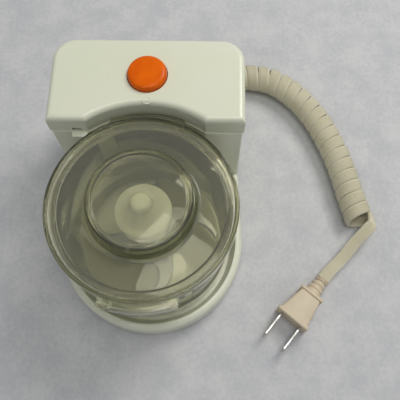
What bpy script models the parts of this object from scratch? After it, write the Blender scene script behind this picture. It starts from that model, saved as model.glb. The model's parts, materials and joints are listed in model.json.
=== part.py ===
"""A small food processor: a motor tower with a push button, a round base with a raised rim, a smoke-tinted
bowl and twist-lock lid, a blade hub driven by a belt, and a curly mains cord with a two-blade plug.

Metres, +Z up, +Y to the rear, +X to the right. The origin is on the surface that it stands on, under the middle
of the body. A depth is a distance behind the bowl's axis, along +Y.
"""

import math

import bmesh
import bpy
from mathutils import Matrix, Vector

# Overall sizes
BASE_RADIUS = 0.0515
REAR_DEPTH = 0.0900
FRONT_DEPTH = 0.0420
TOWER_HALF_WIDTH = 0.0490
TOWER_CORNER = 0.0118
NOTCH_RADIUS = 0.0515
HOUSING_BOTTOM = 0.0020
SEAM_HEIGHT = 0.0690
COVER_TOP = 0.0815
COVER_PROUD = 0.0007
BASE_TOP = 0.0166
BASE_ROUND = 0.0030
COVER_ROUND = 0.0030

# Walls and clearances
WALL = 0.0025
BASE_WALL = 0.0030
DECK_THICKNESS = 0.0020
DECK_TOP = 0.0105
COVER_WALL = 0.0022
COVER_PLATE = 0.0016
GAP = 0.0003
RUNNING_GAP = 0.0004

# Bowl
BOWL_FOOT_RADIUS = 0.0434
BOWL_RIM_RADIUS = 0.0443
BOWL_WALL = 0.0020
BOWL_RIM_HEIGHT = 0.0705
BOWL_FIT = 0.0019
RECESS_FLARE = 0.0025
TUBE_WALL = 0.0020
TUBE_FIT = 0.0007
TUBE_TOP = 0.0300
LUG_REACH = 0.0033
LUG_LENGTH = 0.0080
LUG_THICKNESS = 0.0015
LUG_ANGLE = 119.0

# Lid
LID_RADIUS = 0.0468
LID_TOP = 0.0752
LID_PLATE = 0.0022
LID_BEAD_HEIGHT = 0.0013
LID_BEAD_WIDTH = 0.0016
GRIP_FOOT_RADIUS = 0.0266
GRIP_RIM_RADIUS = 0.0252
GRIP_TOP = 0.0857
GRIP_LIP = 0.0008
LIP_WALL = 0.0018
LIP_OVERLAP = 0.0010
SEAL_HEIGHT = 0.0012
EAR_RADIUS = 0.0508
EAR_HALF_WIDTH = 0.0190
EAR_WALL = 0.0016
EAR_DROP = 0.0050

# Drive
SPINDLE_RADIUS = 0.0030
BUSHING_WALL = 0.0017
BOSS_WALL = 0.0022
BOSS_TOP = 0.0220
SPINDLE_REACH = 0.0040
MOTOR_DEPTH = 0.0705
SPINDLE_PULLEY_RADIUS = 0.0200
MOTOR_PULLEY_RADIUS = 0.0060
PULLEY_WIDTH = 0.0040
BELT_THICKNESS = 0.0012
BELT_WIDTH = 0.0022
MOTOR_SHAFT_RADIUS = 0.0020
MOUNT_PLATE_LOW = 0.0130
PLATE_THICKNESS = 0.0025
BRACKET_HEIGHT = 0.0079
STATOR_HEIGHT = 0.0200
STATOR_HALF_WIDTH = 0.0220
STATOR_HALF_DEPTH = 0.0155
CORE_RADIUS = 0.0110
BORE_GAP = 0.0005
COMMUTATOR_RADIUS = 0.0065
FAN_RADIUS = 0.0122

# Blades
HUB_WALL = 0.0016
HUB_CAP_RADIUS = 0.0152
HUB_CAP_LOW = 0.0540
HUB_CAP_TOP = 0.0660
HUB_KNOB_RADIUS = 0.0054
HUB_TOP = 0.0812
BLADE_REACH = 0.0385
BLADE_THICKNESS = 0.0010
BLADE_RING_WIDTH = 0.0028
LOWER_BLADE_HEIGHT = 0.0158
UPPER_BLADE_HEIGHT = 0.0300

# Button, switch and interlock
BUTTON_RADIUS = 0.0101
BUTTON_DEPTH = 0.0680
BUTTON_TOP = 0.0850
BUTTON_TRAVEL = 0.0030
BUTTON_STEM = 0.0035
SWITCH_HEIGHT = 0.0127
PLUNGER_RADIUS = 0.0025
PIN_RADIUS = 0.0014
PIN_ANGLE = 121.5
PIN_HEIGHT = 0.0669
PIN_TIP = 0.0501
PIN_LENGTH = 0.0160

# Fasteners and feet
SCREW_RADIUS = 0.0012
SCREW_HEAD_RADIUS = 0.0028
SCREW_HEAD_HEIGHT = 0.0010
SCREW_BOSS_RADIUS = 0.0035
FOOT_RADIUS = 0.0060
FRONT_SCREW_RING = 0.0390
FRONT_SCREW_ANGLE = 55.0
REAR_SCREW_X = 0.0435
REAR_SCREW_DEPTH = 0.0700

# Cord and plug
CORD_RADIUS = 0.0026
COIL_RADIUS = 0.00825
GLAND_HEIGHT = 0.0085
RELIEF_RADIUS = 0.0044
RELIEF_REACH = 0.0158
PLUG_LENGTH = 0.0194
PLUG_FRONT_WIDTH = 0.0204
PLUG_REAR_WIDTH = 0.0145
PLUG_HEIGHT = 0.0140
PLUG_MIDDLE = 0.0073
PLUG_RELIEF_LENGTH = 0.0105
PRONG_SPACING = 0.0127
PRONG_LENGTH = 0.0160
PRONG_WIDTH = 0.00635
PRONG_THICKNESS = 0.0015

# Places that follow from the sizes above
BOWL_Y = -(REAR_DEPTH - BASE_RADIUS) / 2
BOWL_AXIS = (0.0, BOWL_Y, 0.0)
MOTOR_AXIS = (0.0, BOWL_Y + MOTOR_DEPTH, 0.0)
BUTTON_AXIS = (0.0, BOWL_Y + BUTTON_DEPTH, 0.0)
DECK_BOTTOM = DECK_TOP - DECK_THICKNESS
BOWL_BOTTOM = DECK_TOP + GAP
BOWL_FLOOR = BOWL_BOTTOM + BOWL_WALL
FLOOR_PLATE_TOP = HOUSING_BOTTOM + COVER_PLATE
PULLEY_LOW = FLOOR_PLATE_TOP + 0.0005
PULLEY_HIGH = PULLEY_LOW + PULLEY_WIDTH
BUSHING_RADIUS = SPINDLE_RADIUS + GAP + BUSHING_WALL
BOSS_BORE = BUSHING_RADIUS + GAP
BOSS_RADIUS = BOSS_BORE + BOSS_WALL
TUBE_BORE = BOSS_RADIUS + TUBE_FIT
TUBE_RADIUS = TUBE_BORE + TUBE_WALL
HUB_BORE = TUBE_RADIUS + RUNNING_GAP
HUB_STEM_RADIUS = HUB_BORE + HUB_WALL
SPINDLE_TOP = TUBE_TOP + SPINDLE_REACH
MOTOR_BUSHING_RADIUS = MOTOR_SHAFT_RADIUS + GAP + BUSHING_WALL
MOTOR_BUSHING_HOLE = MOTOR_BUSHING_RADIUS + GAP
MOUNT_PLATE_TOP = MOUNT_PLATE_LOW + PLATE_THICKNESS
STATOR_LOW = MOUNT_PLATE_TOP + GAP + BRACKET_HEIGHT + GAP
STATOR_HIGH = STATOR_LOW + STATOR_HEIGHT
UPPER_BRACKET_TOP = STATOR_HIGH + GAP + BRACKET_HEIGHT - 0.0005
CHASSIS_LOW = UPPER_BRACKET_TOP + GAP
CHASSIS_TOP = CHASSIS_LOW + PLATE_THICKNESS - 0.0005
SWITCH_TOP = CHASSIS_TOP + GAP + SWITCH_HEIGHT
SEAL_LOW = BOWL_RIM_HEIGHT + GAP
SEAT_HEIGHT = SEAL_LOW + SEAL_HEIGHT + GAP
LIP_LOW = BOWL_RIM_HEIGHT - LIP_OVERLAP
EAR_TOP = SEAL_LOW + 0.0022
EAR_LOW = SEAL_LOW - EAR_DROP
LUG_TOP = LIP_LOW - GAP
COVER_SEAM = SEAM_HEIGHT + GAP
COVER_UNDERSIDE = COVER_TOP - COVER_WALL
FLANGE_TOP = COVER_UNDERSIDE - GAP
FLANGE_LOW = FLANGE_TOP - 0.0015
STEM_LOW = SWITCH_TOP + BUTTON_TRAVEL + 0.0005
STEPS = 48

CREAM = ("cream_plastic", (0.70, 0.67, 0.53), 0.35, 0.0, 1.0)
SMOKE = ("smoke_plastic", (0.24, 0.23, 0.16), 0.08, 0.0, 0.35)
MILK = ("milky_plastic", (0.80, 0.79, 0.66), 0.30, 0.0, 1.0)
ORANGE = ("orange_plastic", (0.72, 0.13, 0.01), 0.35, 0.0, 1.0)
SEALING = ("clear_silicone", (0.45, 0.44, 0.36), 0.30, 0.0, 0.6)
RUBBER = ("dark_rubber", (0.03, 0.03, 0.03), 0.80, 0.0, 1.0)
STEEL = ("bright_steel", (0.62, 0.62, 0.60), 0.22, 1.0, 1.0)
LAMINATION = ("lamination_steel", (0.20, 0.20, 0.21), 0.45, 1.0, 1.0)
COPPER = ("copper", (0.72, 0.33, 0.17), 0.35, 1.0, 1.0)
BRONZE = ("bronze", (0.45, 0.30, 0.14), 0.40, 1.0, 1.0)
CARBON = ("carbon", (0.02, 0.02, 0.02), 0.70, 0.0, 1.0)
NYLON = ("nylon", (0.75, 0.74, 0.70), 0.45, 0.0, 1.0)
BLACK = ("black_plastic", (0.04, 0.04, 0.04), 0.50, 0.0, 1.0)
BROWN = ("brown_insulation", (0.20, 0.07, 0.03), 0.50, 0.0, 1.0)
BLUE = ("blue_insulation", (0.03, 0.10, 0.35), 0.50, 0.0, 1.0)
VINYL = ("cord_vinyl", (0.55, 0.51, 0.38), 0.45, 0.0, 1.0)


def clear_scene():
    """Removes every object, so that the script gives the same scene each run."""
    for obj in list(bpy.data.objects):
        bpy.data.objects.remove(obj, do_unlink=True)


def make_collection(name):
    made = bpy.data.collections.new(name)
    bpy.context.scene.collection.children.link(made)
    return made


clear_scene()
PARTS = make_collection("food_processor")
CUTTERS = make_collection("cutters")


def material(finish):
    """The Principled material of a finish, made once."""
    name, colour, roughness, metallic, alpha = finish
    found = bpy.data.materials.get(name)
    if found:
        return found
    made = bpy.data.materials.new(name)
    made.use_nodes = True
    shader = made.node_tree.nodes["Principled BSDF"]
    shader.inputs["Base Color"].default_value = (*colour, 1.0)
    shader.inputs["Roughness"].default_value = roughness
    shader.inputs["Metallic"].default_value = metallic
    shader.inputs["Alpha"].default_value = alpha
    return made


def add_mesh(name, mesh, finish=None, place=(0.0, 0.0, 0.0)):
    """Puts a mesh in the scene as a part, or as a cutter where it has no finish."""
    obj = bpy.data.objects.new(name, mesh)
    obj.location = place
    if finish is None:
        CUTTERS.objects.link(obj)
        obj.hide_render = True
        obj.display_type = "WIRE"
        return obj
    PARTS.objects.link(obj)
    mesh.materials.clear()
    mesh.materials.append(material(finish))
    return obj


def smooth(*objects, angle=35.0):
    """Shades round faces smooth and keeps edges over the angle sharp."""
    for obj in objects:
        obj.data.shade_smooth()
        obj.data.set_sharp_from_angle(angle=math.radians(angle))


def at(x, depth, height):
    """A point given by its depth behind the bowl's axis."""
    return Vector((x, BOWL_Y + depth, height))


def polar(radius, angle, height):
    """A point about the bowl's axis, with the angle in degrees from +X."""
    turn = math.radians(angle)
    return at(radius * math.cos(turn), radius * math.sin(turn), height)


def turned(name, profile, finish=None, place=(0.0, 0.0, 0.0), closed=True, steps=STEPS):
    """A turned shape about its own Z axis. The profile's (radius, height) points run down its outer side."""
    mesh = bpy.data.meshes.new(name)
    verts = [(radius, 0.0, height) for radius, height in profile]
    edges = [(index, index + 1) for index in range(len(verts) - 1)]
    if closed:
        edges.append((len(verts) - 1, 0))
    mesh.from_pydata(verts, edges, [])
    obj = add_mesh(name, mesh, finish, place)
    screw = obj.modifiers.new("Turn", "SCREW")
    screw.axis = "Z"
    screw.angle = math.tau
    screw.steps = steps
    screw.render_steps = steps
    screw.use_merge_vertices = True
    screw.merge_threshold = 0.00001
    return obj


def ring(name, inner, outer, low, high, finish=None, place=(0.0, 0.0, 0.0), steps=STEPS):
    """A turned ring of plain section."""
    profile = [(inner, high), (outer, high), (outer, low), (inner, low)]
    return turned(name, profile, finish, place, steps=steps)


def disc(name, radius, low, high, finish=None, place=(0.0, 0.0, 0.0), steps=24):
    """A cylinder that stands on its own axis."""
    mesh = bpy.data.meshes.new(name)
    shape = bmesh.new()
    bmesh.ops.create_cone(
        shape, cap_ends=True, segments=steps, radius1=radius, radius2=radius, depth=high - low
    )
    bmesh.ops.translate(shape, verts=shape.verts, vec=(0.0, 0.0, (low + high) / 2))
    shape.to_mesh(mesh)
    shape.free()
    return add_mesh(name, mesh, finish, place)


def block(name, size, centre, finish=None, turn=0.0):
    """A box of this size about its centre, turned about Z by an angle in degrees."""
    mesh = bpy.data.meshes.new(name)
    shape = bmesh.new()
    bmesh.ops.create_cube(shape, size=1.0)
    bmesh.ops.scale(shape, verts=shape.verts, vec=size)
    shape.to_mesh(mesh)
    shape.free()
    obj = add_mesh(name, mesh, finish, centre)
    obj.rotation_euler.z = math.radians(turn)
    return obj


def plate(name, loops, low, high, finish=None, place=(0.0, 0.0, 0.0)):
    """A flat outline between two heights. Loops after the first are its holes."""
    curve = bpy.data.curves.new(name + "_outline", "CURVE")
    curve.dimensions = "2D"
    curve.fill_mode = "BOTH"
    curve.extrude = (high - low) / 2
    for loop in loops:
        spline = curve.splines.new("POLY")
        spline.points.add(len(loop) - 1)
        for point, (x, y) in zip(spline.points, loop):
            point.co = (x, y, 0.0, 1.0)
        spline.use_cyclic_u = True
    outline = bpy.data.objects.new(name + "_outline", curve)
    bpy.context.scene.collection.objects.link(outline)
    graph = bpy.context.evaluated_depsgraph_get()
    mesh = bpy.data.meshes.new_from_object(outline.evaluated_get(graph))
    bpy.data.objects.remove(outline, do_unlink=True)
    mesh.transform(Matrix.Translation((0.0, 0.0, (low + high) / 2)))
    shape = bmesh.new()
    shape.from_mesh(mesh)
    bmesh.ops.remove_doubles(shape, verts=shape.verts, dist=0.00001)
    bmesh.ops.recalc_face_normals(shape, faces=shape.faces)
    shape.to_mesh(mesh)
    shape.free()
    return add_mesh(name, mesh, finish, place)


def round_top(obj, width, segments):
    """Rounds the top edge of a plate that has no holes yet."""
    shape = bmesh.new()
    shape.from_mesh(obj.data)
    bmesh.ops.dissolve_limit(shape, angle_limit=0.01, verts=shape.verts, edges=shape.edges)
    top = max(vert.co.z for vert in shape.verts)
    edges = [edge for edge in shape.edges if all(vert.co.z > top - 0.00001 for vert in edge.verts)]
    bmesh.ops.bevel(
        shape, geom=edges, offset=width, segments=segments, profile=0.5, affect="EDGES", clamp_overlap=True
    )
    shape.to_mesh(obj.data)
    shape.free()


def arc(x, y, radius, start, end, count):
    """Points along an arc, from one angle to another in degrees, both ends included."""
    points = []
    for index in range(count + 1):
        angle = math.radians(start + (end - start) * index / count)
        points.append((x + radius * math.cos(angle), y + radius * math.sin(angle)))
    return points


def circle(x, y, radius, count=24):
    return arc(x, y, radius, 0.0, 360.0 * (count - 1) / count, count - 1)


def rectangle(x, y, half_width, half_depth):
    return [
        (x - half_width, y - half_depth),
        (x + half_width, y - half_depth),
        (x + half_width, y + half_depth),
        (x - half_width, y + half_depth),
    ]


def smooth_route(points, steps):
    """A smooth curve through hand-chosen points, with this many steps to each stretch."""
    knots = [Vector(point) for point in points]
    knots = [2 * knots[0] - knots[1]] + knots + [2 * knots[-1] - knots[-2]]
    route = []
    for index in range(1, len(knots) - 2):
        before, start, end, after = knots[index - 1 : index + 3]
        slope = end - before
        bend = 2 * before - 5 * start + 4 * end - after
        twist = 3 * start - before - 3 * end + after
        for step in range(steps):
            t = step / steps
            route.append(start + 0.5 * (slope * t + bend * t * t + twist * t * t * t))
    route.append(knots[-2])
    return route


def tube(name, points, radius, finish, resolution=2):
    """A round wire, cord or lead along a line of points, with its ends closed."""
    curve = bpy.data.curves.new(name, "CURVE")
    curve.dimensions = "3D"
    curve.bevel_depth = radius
    curve.bevel_resolution = resolution
    curve.use_fill_caps = True
    spline = curve.splines.new("POLY")
    spline.points.add(len(points) - 1)
    spline.use_smooth = True
    for point, place in zip(spline.points, points):
        point.co = (*place, 1.0)
    curve.materials.append(material(finish))
    obj = bpy.data.objects.new(name, curve)
    PARTS.objects.link(obj)
    return obj


def boolean(target, tool, operation):
    modifier = target.modifiers.new(operation.title() + "_" + tool.name, "BOOLEAN")
    modifier.operation = operation
    modifier.object = tool
    modifier.solver = "EXACT"


def cut(target, *tools):
    for tool in tools:
        boolean(target, tool, "DIFFERENCE")


def join(target, *tools):
    for tool in tools:
        boolean(target, tool, "UNION")


def lay_along(obj, angle):
    """Lays a turned piece down, so that its own Z axis points away from the bowl's axis at this angle."""
    obj.rotation_euler = (0.0, math.pi / 2, math.radians(angle))


def tower_outline(half_width, front, rear, corner, notch):
    """The tower's plan: straight sides, round rear corners and a front hollowed about the bowl's axis."""
    reach = math.degrees(math.asin(front / notch))
    points = [(half_width, BOWL_Y + front)]
    points += arc(half_width - corner, BOWL_Y + rear - corner, corner, 0.0, 90.0, 6)
    points += arc(-half_width + corner, BOWL_Y + rear - corner, corner, 90.0, 180.0, 6)
    points.append((-half_width, BOWL_Y + front))
    points += arc(0.0, BOWL_Y, notch, 180.0 - reach, reach, 14)
    return points


def housing_outline(inset=0.0):
    return tower_outline(
        TOWER_HALF_WIDTH - inset,
        FRONT_DEPTH + inset,
        REAR_DEPTH - GAP - inset,
        TOWER_CORNER - inset,
        NOTCH_RADIUS + inset,
    )


def base_outline(inset, neck):
    """The base's plan: a half round front whose sides run back into the tower, closer in by the neck there."""
    side = TOWER_HALF_WIDTH + COVER_PROUD - inset
    points = arc(0.0, BOWL_Y, BASE_RADIUS - inset, 180.0, 360.0, 28)
    points.append((side, BOWL_Y + FRONT_DEPTH - 0.0010))
    points.append((side - neck, BOWL_Y + FRONT_DEPTH + WALL + 0.0015))
    points.append((side - neck, BOWL_Y + FRONT_DEPTH + 0.0200))
    points.append((-side + neck, BOWL_Y + FRONT_DEPTH + 0.0200))
    points.append((-side + neck, BOWL_Y + FRONT_DEPTH + WALL + 0.0015))
    points.append((-side, BOWL_Y + FRONT_DEPTH - 0.0010))
    return points


def front_screws():
    return [polar(FRONT_SCREW_RING, angle, 0.0) for angle in (FRONT_SCREW_ANGLE - 180, -FRONT_SCREW_ANGLE)]


def rear_screws():
    return [at(side * REAR_SCREW_X, REAR_SCREW_DEPTH, 0.0) for side in (-1, 1)]


def make_housing_shell():
    """Tower and base, moulded as one: a hollow tower, a deck under the bowl, a boss for the spindle."""
    shell = plate("housing_shell", [housing_outline()], HOUSING_BOTTOM, SEAM_HEIGHT, CREAM)
    base = plate("base_block", [base_outline(0.0, 0.0048)], HOUSING_BOTTOM, BASE_TOP)
    round_top(base, BASE_ROUND, 3)
    join(shell, base)
    tower_room = plate("tower_room", [housing_outline(WALL)], HOUSING_BOTTOM - 0.001, SEAM_HEIGHT + 0.001)
    base_room = plate("base_room", [base_outline(BASE_WALL, 0.0008)], HOUSING_BOTTOM - 0.001, DECK_BOTTOM)
    foot = BOWL_FOOT_RADIUS + BOWL_FIT
    profile = [
        (0.0, BASE_TOP + 0.001),
        (foot + RECESS_FLARE, BASE_TOP + 0.001),
        (foot + RECESS_FLARE, BASE_TOP),
        (foot, DECK_TOP + 0.0015),
        (foot, DECK_TOP),
        (0.0, DECK_TOP),
    ]
    recess = turned("bowl_recess", profile, place=BOWL_AXIS, closed=False)
    cut(shell, tower_room, base_room, recess)
    join(shell, disc("spindle_boss", BOSS_RADIUS, DECK_BOTTOM, BOSS_TOP, place=BOWL_AXIS, steps=32))
    cut(shell, disc("spindle_bore", BOSS_BORE, 0.001, BOSS_TOP + 0.001, place=BOWL_AXIS, steps=32))
    boss_low = FLOOR_PLATE_TOP + GAP
    for place in front_screws():
        join(shell, disc("front_boss", SCREW_BOSS_RADIUS, boss_low, DECK_BOTTOM + 0.0010, place=place))
        cut(shell, disc("front_hole", SCREW_RADIUS + GAP, 0.001, DECK_BOTTOM, place=place, steps=16))
    for place in rear_screws():
        side = math.copysign(1.0, place.x)
        boss_top = MOUNT_PLATE_LOW - GAP
        boss = disc("rear_boss", SCREW_BOSS_RADIUS, boss_low, boss_top, place=place)
        web = (TOWER_HALF_WIDTH - REAR_SCREW_X, 0.0020, boss_top - boss_low)
        middle = at(side * (TOWER_HALF_WIDTH + REAR_SCREW_X) / 2, REAR_SCREW_DEPTH, (boss_top + boss_low) / 2)
        join(boss, block("boss_web", web, middle - Vector((side * 0.0005, 0.0, 0.0))))
        join(shell, boss)
        cut(shell, disc("rear_hole", SCREW_RADIUS + GAP, 0.001, boss_top - 0.0020, place=place, steps=16))
    pin_place = polar(NOTCH_RADIUS, PIN_ANGLE, PIN_HEIGHT)
    pin_hole = disc("pin_hole", PIN_RADIUS + GAP, -0.005, 0.005, place=pin_place)
    lay_along(pin_hole, PIN_ANGLE)
    gland_place = at(0, REAR_DEPTH, GLAND_HEIGHT)
    gland_hole = disc("gland_hole", RELIEF_RADIUS - 0.0012 + GAP, -0.005, 0.005, place=gland_place)
    lay_along(gland_hole, 90.0)
    cut(shell, pin_hole, gland_hole)
    ledge = block("latch_ledge", (0.0080, 0.0040, 0.0016), at(-0.0345, 0.0410, 0.0675))
    join(shell, ledge)
    smooth(shell)


def make_top_cover():
    """The lid of the tower, with the button's hole and the slit at the left of its front."""
    outer = tower_outline(
        TOWER_HALF_WIDTH + COVER_PROUD, FRONT_DEPTH, REAR_DEPTH, TOWER_CORNER + GAP, NOTCH_RADIUS
    )
    cover = plate("top_cover", [outer], COVER_SEAM, COVER_TOP, CREAM)
    round_top(cover, COVER_ROUND, 3)
    inner = tower_outline(
        TOWER_HALF_WIDTH + COVER_PROUD - COVER_WALL,
        FRONT_DEPTH + COVER_WALL,
        REAR_DEPTH - COVER_WALL,
        TOWER_CORNER - COVER_WALL,
        NOTCH_RADIUS + COVER_WALL,
    )
    cut(cover, plate("cover_room", [inner], COVER_SEAM - 0.001, COVER_UNDERSIDE))
    hole = BUTTON_RADIUS + RUNNING_GAP
    low, high = COVER_UNDERSIDE - 0.001, COVER_TOP + 0.001
    cut(cover, disc("button_hole", hole, low, high, place=BUTTON_AXIS, steps=40))
    slit_height = 0.0032
    cut(cover, block("slit", (0.0050, 0.0060, slit_height * 2), at(-0.0355, 0.0430, COVER_SEAM)))
    smooth(cover)


def make_bottom_cover():
    """The plate that closes the underside, with slots that let the motor breathe."""
    inset = BASE_WALL + GAP
    side = TOWER_HALF_WIDTH - WALL - 0.0008
    rear = BOWL_Y + REAR_DEPTH - GAP - WALL - GAP
    corner = TOWER_CORNER - WALL
    outline = arc(0.0, BOWL_Y, BASE_RADIUS - inset, 180.0, 360.0, 28)
    outline.append((side, BOWL_Y + FRONT_DEPTH + WALL))
    outline += arc(side - corner, rear - corner, corner, 0.0, 90.0, 5)
    outline += arc(-side + corner, rear - corner, corner, 90.0, 180.0, 5)
    outline.append((-side, BOWL_Y + FRONT_DEPTH + WALL))
    loops = [outline]
    for place in front_screws() + rear_screws():
        loops.append(circle(place.x, place.y, SCREW_RADIUS + GAP, 12))
    for row in range(-3, 4):
        loops.append(rectangle(row * 0.0050, MOTOR_AXIS[1], 0.0010, 0.0090))
    plate("bottom_cover", loops, HOUSING_BOTTOM, FLOOR_PLATE_TOP, CREAM)


def make_feet():
    front_feet = [polar(0.0380, -155.0, 0.0), polar(0.0380, -25.0, 0.0)]
    places = front_feet + [at(-0.036, 0.079, 0.0), at(0.036, 0.079, 0.0)]
    top = HOUSING_BOTTOM - GAP
    profile = [(0.0, top), (FOOT_RADIUS, top), (FOOT_RADIUS, 0.0006), (FOOT_RADIUS - 0.0006, 0.0), (0.0, 0.0)]
    for number, place in enumerate(places, 1):
        smooth(turned(f"foot_{number}", profile, RUBBER, place, closed=False, steps=24))


def make_bottom_screws():
    head_top = HOUSING_BOTTOM - GAP
    head_low = head_top - SCREW_HEAD_HEIGHT
    profile = [
        (0.0, 0.0085 - GAP * 2),
        (SCREW_RADIUS, 0.0085 - GAP * 2),
        (SCREW_RADIUS, head_top),
        (SCREW_HEAD_RADIUS, head_top),
        (SCREW_HEAD_RADIUS - 0.0005, head_low),
        (0.0, head_low),
    ]
    for number, place in enumerate(front_screws() + rear_screws(), 1):
        smooth(turned(f"bottom_screw_{number}", profile, STEEL, place, closed=False, steps=16))


def make_internal_plates():
    """The two plates across the tower: the motor stands on one and the switches on the other."""
    middle = MOTOR_AXIS[1]
    lead_slot = rectangle(0.035, middle + 0.0055, 0.0040, 0.0040)
    for name, low, high in (
        ("motor_mount_plate", MOUNT_PLATE_LOW, MOUNT_PLATE_TOP),
        ("chassis_plate", CHASSIS_LOW, CHASSIS_TOP),
    ):
        hole = circle(0.0, middle, MOTOR_BUSHING_HOLE, 20)
        plate(name, [housing_outline(WALL + GAP), hole, lead_slot], low, high, NYLON)


def make_motor_frame():
    """The motor's still parts: two brackets, a laminated stack with two poles, and a coil on each pole."""
    middle = MOTOR_AXIS[1]
    outside = rectangle(0.0, middle, STATOR_HALF_WIDTH, STATOR_HALF_DEPTH)
    inside = rectangle(0.0, middle, STATOR_HALF_WIDTH - 0.0020, STATOR_HALF_DEPTH - 0.0020)
    plate("motor_bracket_lower", [outside, inside], MOUNT_PLATE_TOP + GAP, STATOR_LOW - GAP, BLACK)
    plate("motor_bracket_upper", [outside, inside], STATOR_HIGH + GAP, UPPER_BRACKET_TOP, BLACK)
    bore = CORE_RADIUS + BORE_GAP
    shoe = math.radians(50.0)
    window_x = STATOR_HALF_WIDTH - 0.0030
    window_y = STATOR_HALF_DEPTH - 0.0030
    neck = 0.0060
    shoe_x = (bore + 0.0015) * math.cos(shoe)
    shoe_y = (bore + 0.0010) * math.sin(shoe)
    right = [(shoe_x, shoe_y), (0.0135, neck), (window_x, neck), (window_x, window_y)]
    quarter = right + [(-x, y) for x, y in reversed(right)]
    half = arc(0.0, 0.0, bore, 180.0 - 50.0, 180.0 + 50.0, 10)
    window = quarter + half
    lower = [(-x, -y) for x, y in quarter]
    window = window + lower + arc(0.0, 0.0, bore, -50.0, 50.0, 10)
    window = [(x, middle + y) for x, y in window]
    plate("motor_stator", [outside, window], STATOR_LOW, STATOR_HIGH, LAMINATION)
    for name, side in (("field_coil_left", -1), ("field_coil_right", 1)):
        centre = Vector((side * 0.01645, middle, (STATOR_LOW + STATOR_HIGH) / 2))
        coil = block(name, (0.0045, 0.0220, STATOR_HEIGHT + 0.0066), centre, COPPER)
        cut(coil, block(name + "_room", (0.0090, 0.0126, STATOR_HEIGHT + 0.0006), centre))


def make_motor_bearings():
    for name, low, high in (
        ("lower_motor_bushing", MOUNT_PLATE_LOW - 0.0005, MOUNT_PLATE_TOP),
        ("upper_motor_bushing", CHASSIS_LOW - 0.0002, CHASSIS_TOP),
    ):
        inner = MOTOR_SHAFT_RADIUS + GAP
        smooth(ring(name, inner, MOTOR_BUSHING_RADIUS, low, high, BRONZE, MOTOR_AXIS, steps=24))


def make_brushes():
    """A brush holder each side of the commutator, fixed to the upper bracket, and the carbon in it."""
    middle = MOTOR_AXIS[1]
    high = UPPER_BRACKET_TOP - 0.0002
    low = high - 0.0035
    outer_end = STATOR_HALF_WIDTH - 0.0020 - GAP
    inner_end = COMMUTATOR_RADIUS + 0.0015
    for side, word in ((-1, "left"), (1, "right")):
        centre = Vector((side * (outer_end + inner_end) / 2, middle, (low + high) / 2))
        holder = block("brush_holder_" + word, (outer_end - inner_end, 0.0056, 0.0035), centre, BRONZE)
        cut(holder, block("brush_room_" + word, (0.0300, 0.0036, 0.0019), centre))
        brush_middle = Vector((side * (COMMUTATOR_RADIUS + GAP + 0.0042), middle, centre.z))
        block("carbon_brush_" + word, (0.0084, 0.0030, 0.0013), brush_middle, CARBON)


def core_outline():
    """The armature's section: twelve slots between the teeth."""
    points = []
    slots = 12
    for slot in range(slots):
        start = 360.0 / slots * slot
        points += arc(0.0, 0.0, CORE_RADIUS, start - 12.0, start + 12.0, 2)
        points += arc(0.0, 0.0, CORE_RADIUS * 0.62, start + 13.0, start + 17.0, 1)
    return points


def make_rotor():
    """What turns in the motor: shaft, slotted core and its windings, commutator, fan and pulley."""
    bore = MOTOR_SHAFT_RADIUS + 0.0002
    shaft_low = FLOOR_PLATE_TOP + GAP
    shaft = disc("motor_shaft", MOTOR_SHAFT_RADIUS, shaft_low, CHASSIS_TOP - 0.0002, STEEL, MOTOR_AXIS, steps=20)
    core_low = STATOR_LOW - 0.0010
    core_high = STATOR_HIGH + 0.0010
    loops = [core_outline(), circle(0.0, 0.0, bore, 20)]
    plate("armature_core", loops, core_low, core_high, LAMINATION, MOTOR_AXIS)
    winding = CORE_RADIUS - 0.0015
    upper = winding_profile(bore, winding, core_high + 0.0002, 0.0021)
    lower = winding_profile(bore, winding, core_low - 0.0002 - 0.0023, 0.0023)
    above = turned("armature_winding_upper", upper, COPPER, MOTOR_AXIS, steps=24)
    below = turned("armature_winding_lower", lower, COPPER, MOTOR_AXIS, steps=24)
    commutator_low = core_high + 0.0002 + 0.0021 + 0.0002
    top = CHASSIS_LOW - 0.0006
    commutator = ring("commutator", bore, COMMUTATOR_RADIUS, commutator_low, top, COPPER, MOTOR_AXIS, steps=32)
    smooth(shaft, above, below, commutator)
    make_cooling_fan(bore)
    make_motor_pulley(bore)


def winding_profile(inner, outer, low, height):
    high = low + height
    soft = 0.0007
    return [
        (inner, high),
        (outer - soft, high),
        (outer, high - soft),
        (outer, low + soft),
        (outer - soft, low),
        (inner, low),
    ]


def make_cooling_fan(bore):
    """A disc with eight upright blades."""
    low = MOUNT_PLATE_TOP + 0.0007
    fan = ring("cooling_fan", bore, FAN_RADIUS, low, low + 0.0010, BLACK, MOTOR_AXIS, steps=32)
    join(fan, ring("fan_hub", bore, 0.0045, low, low + 0.0036, place=MOTOR_AXIS, steps=32))
    for number in range(8):
        angle = number * 45.0
        turn = math.radians(angle)
        middle = Vector((math.cos(turn) * 0.0078, math.sin(turn) * 0.0078, low + 0.0018))
        blade = block(f"fan_blade_{number}", (0.0080, 0.0008, 0.0036), Vector(MOTOR_AXIS) + middle, turn=angle)
        join(fan, blade)
    smooth(fan)


def pulley_profile(bore, radius):
    """A pulley's section, with a low flange on each side of the belt."""
    flange = radius + 0.0010
    return [
        (bore, PULLEY_HIGH),
        (flange, PULLEY_HIGH),
        (flange, PULLEY_HIGH - 0.0004),
        (radius, PULLEY_HIGH - 0.0007),
        (radius, PULLEY_LOW + 0.0007),
        (flange, PULLEY_LOW + 0.0004),
        (flange, PULLEY_LOW),
        (bore, PULLEY_LOW),
    ]


def make_motor_pulley(bore):
    pulley = turned("motor_pulley", pulley_profile(bore, MOTOR_PULLEY_RADIUS), NYLON, MOTOR_AXIS, steps=32)
    smooth(pulley)


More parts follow.
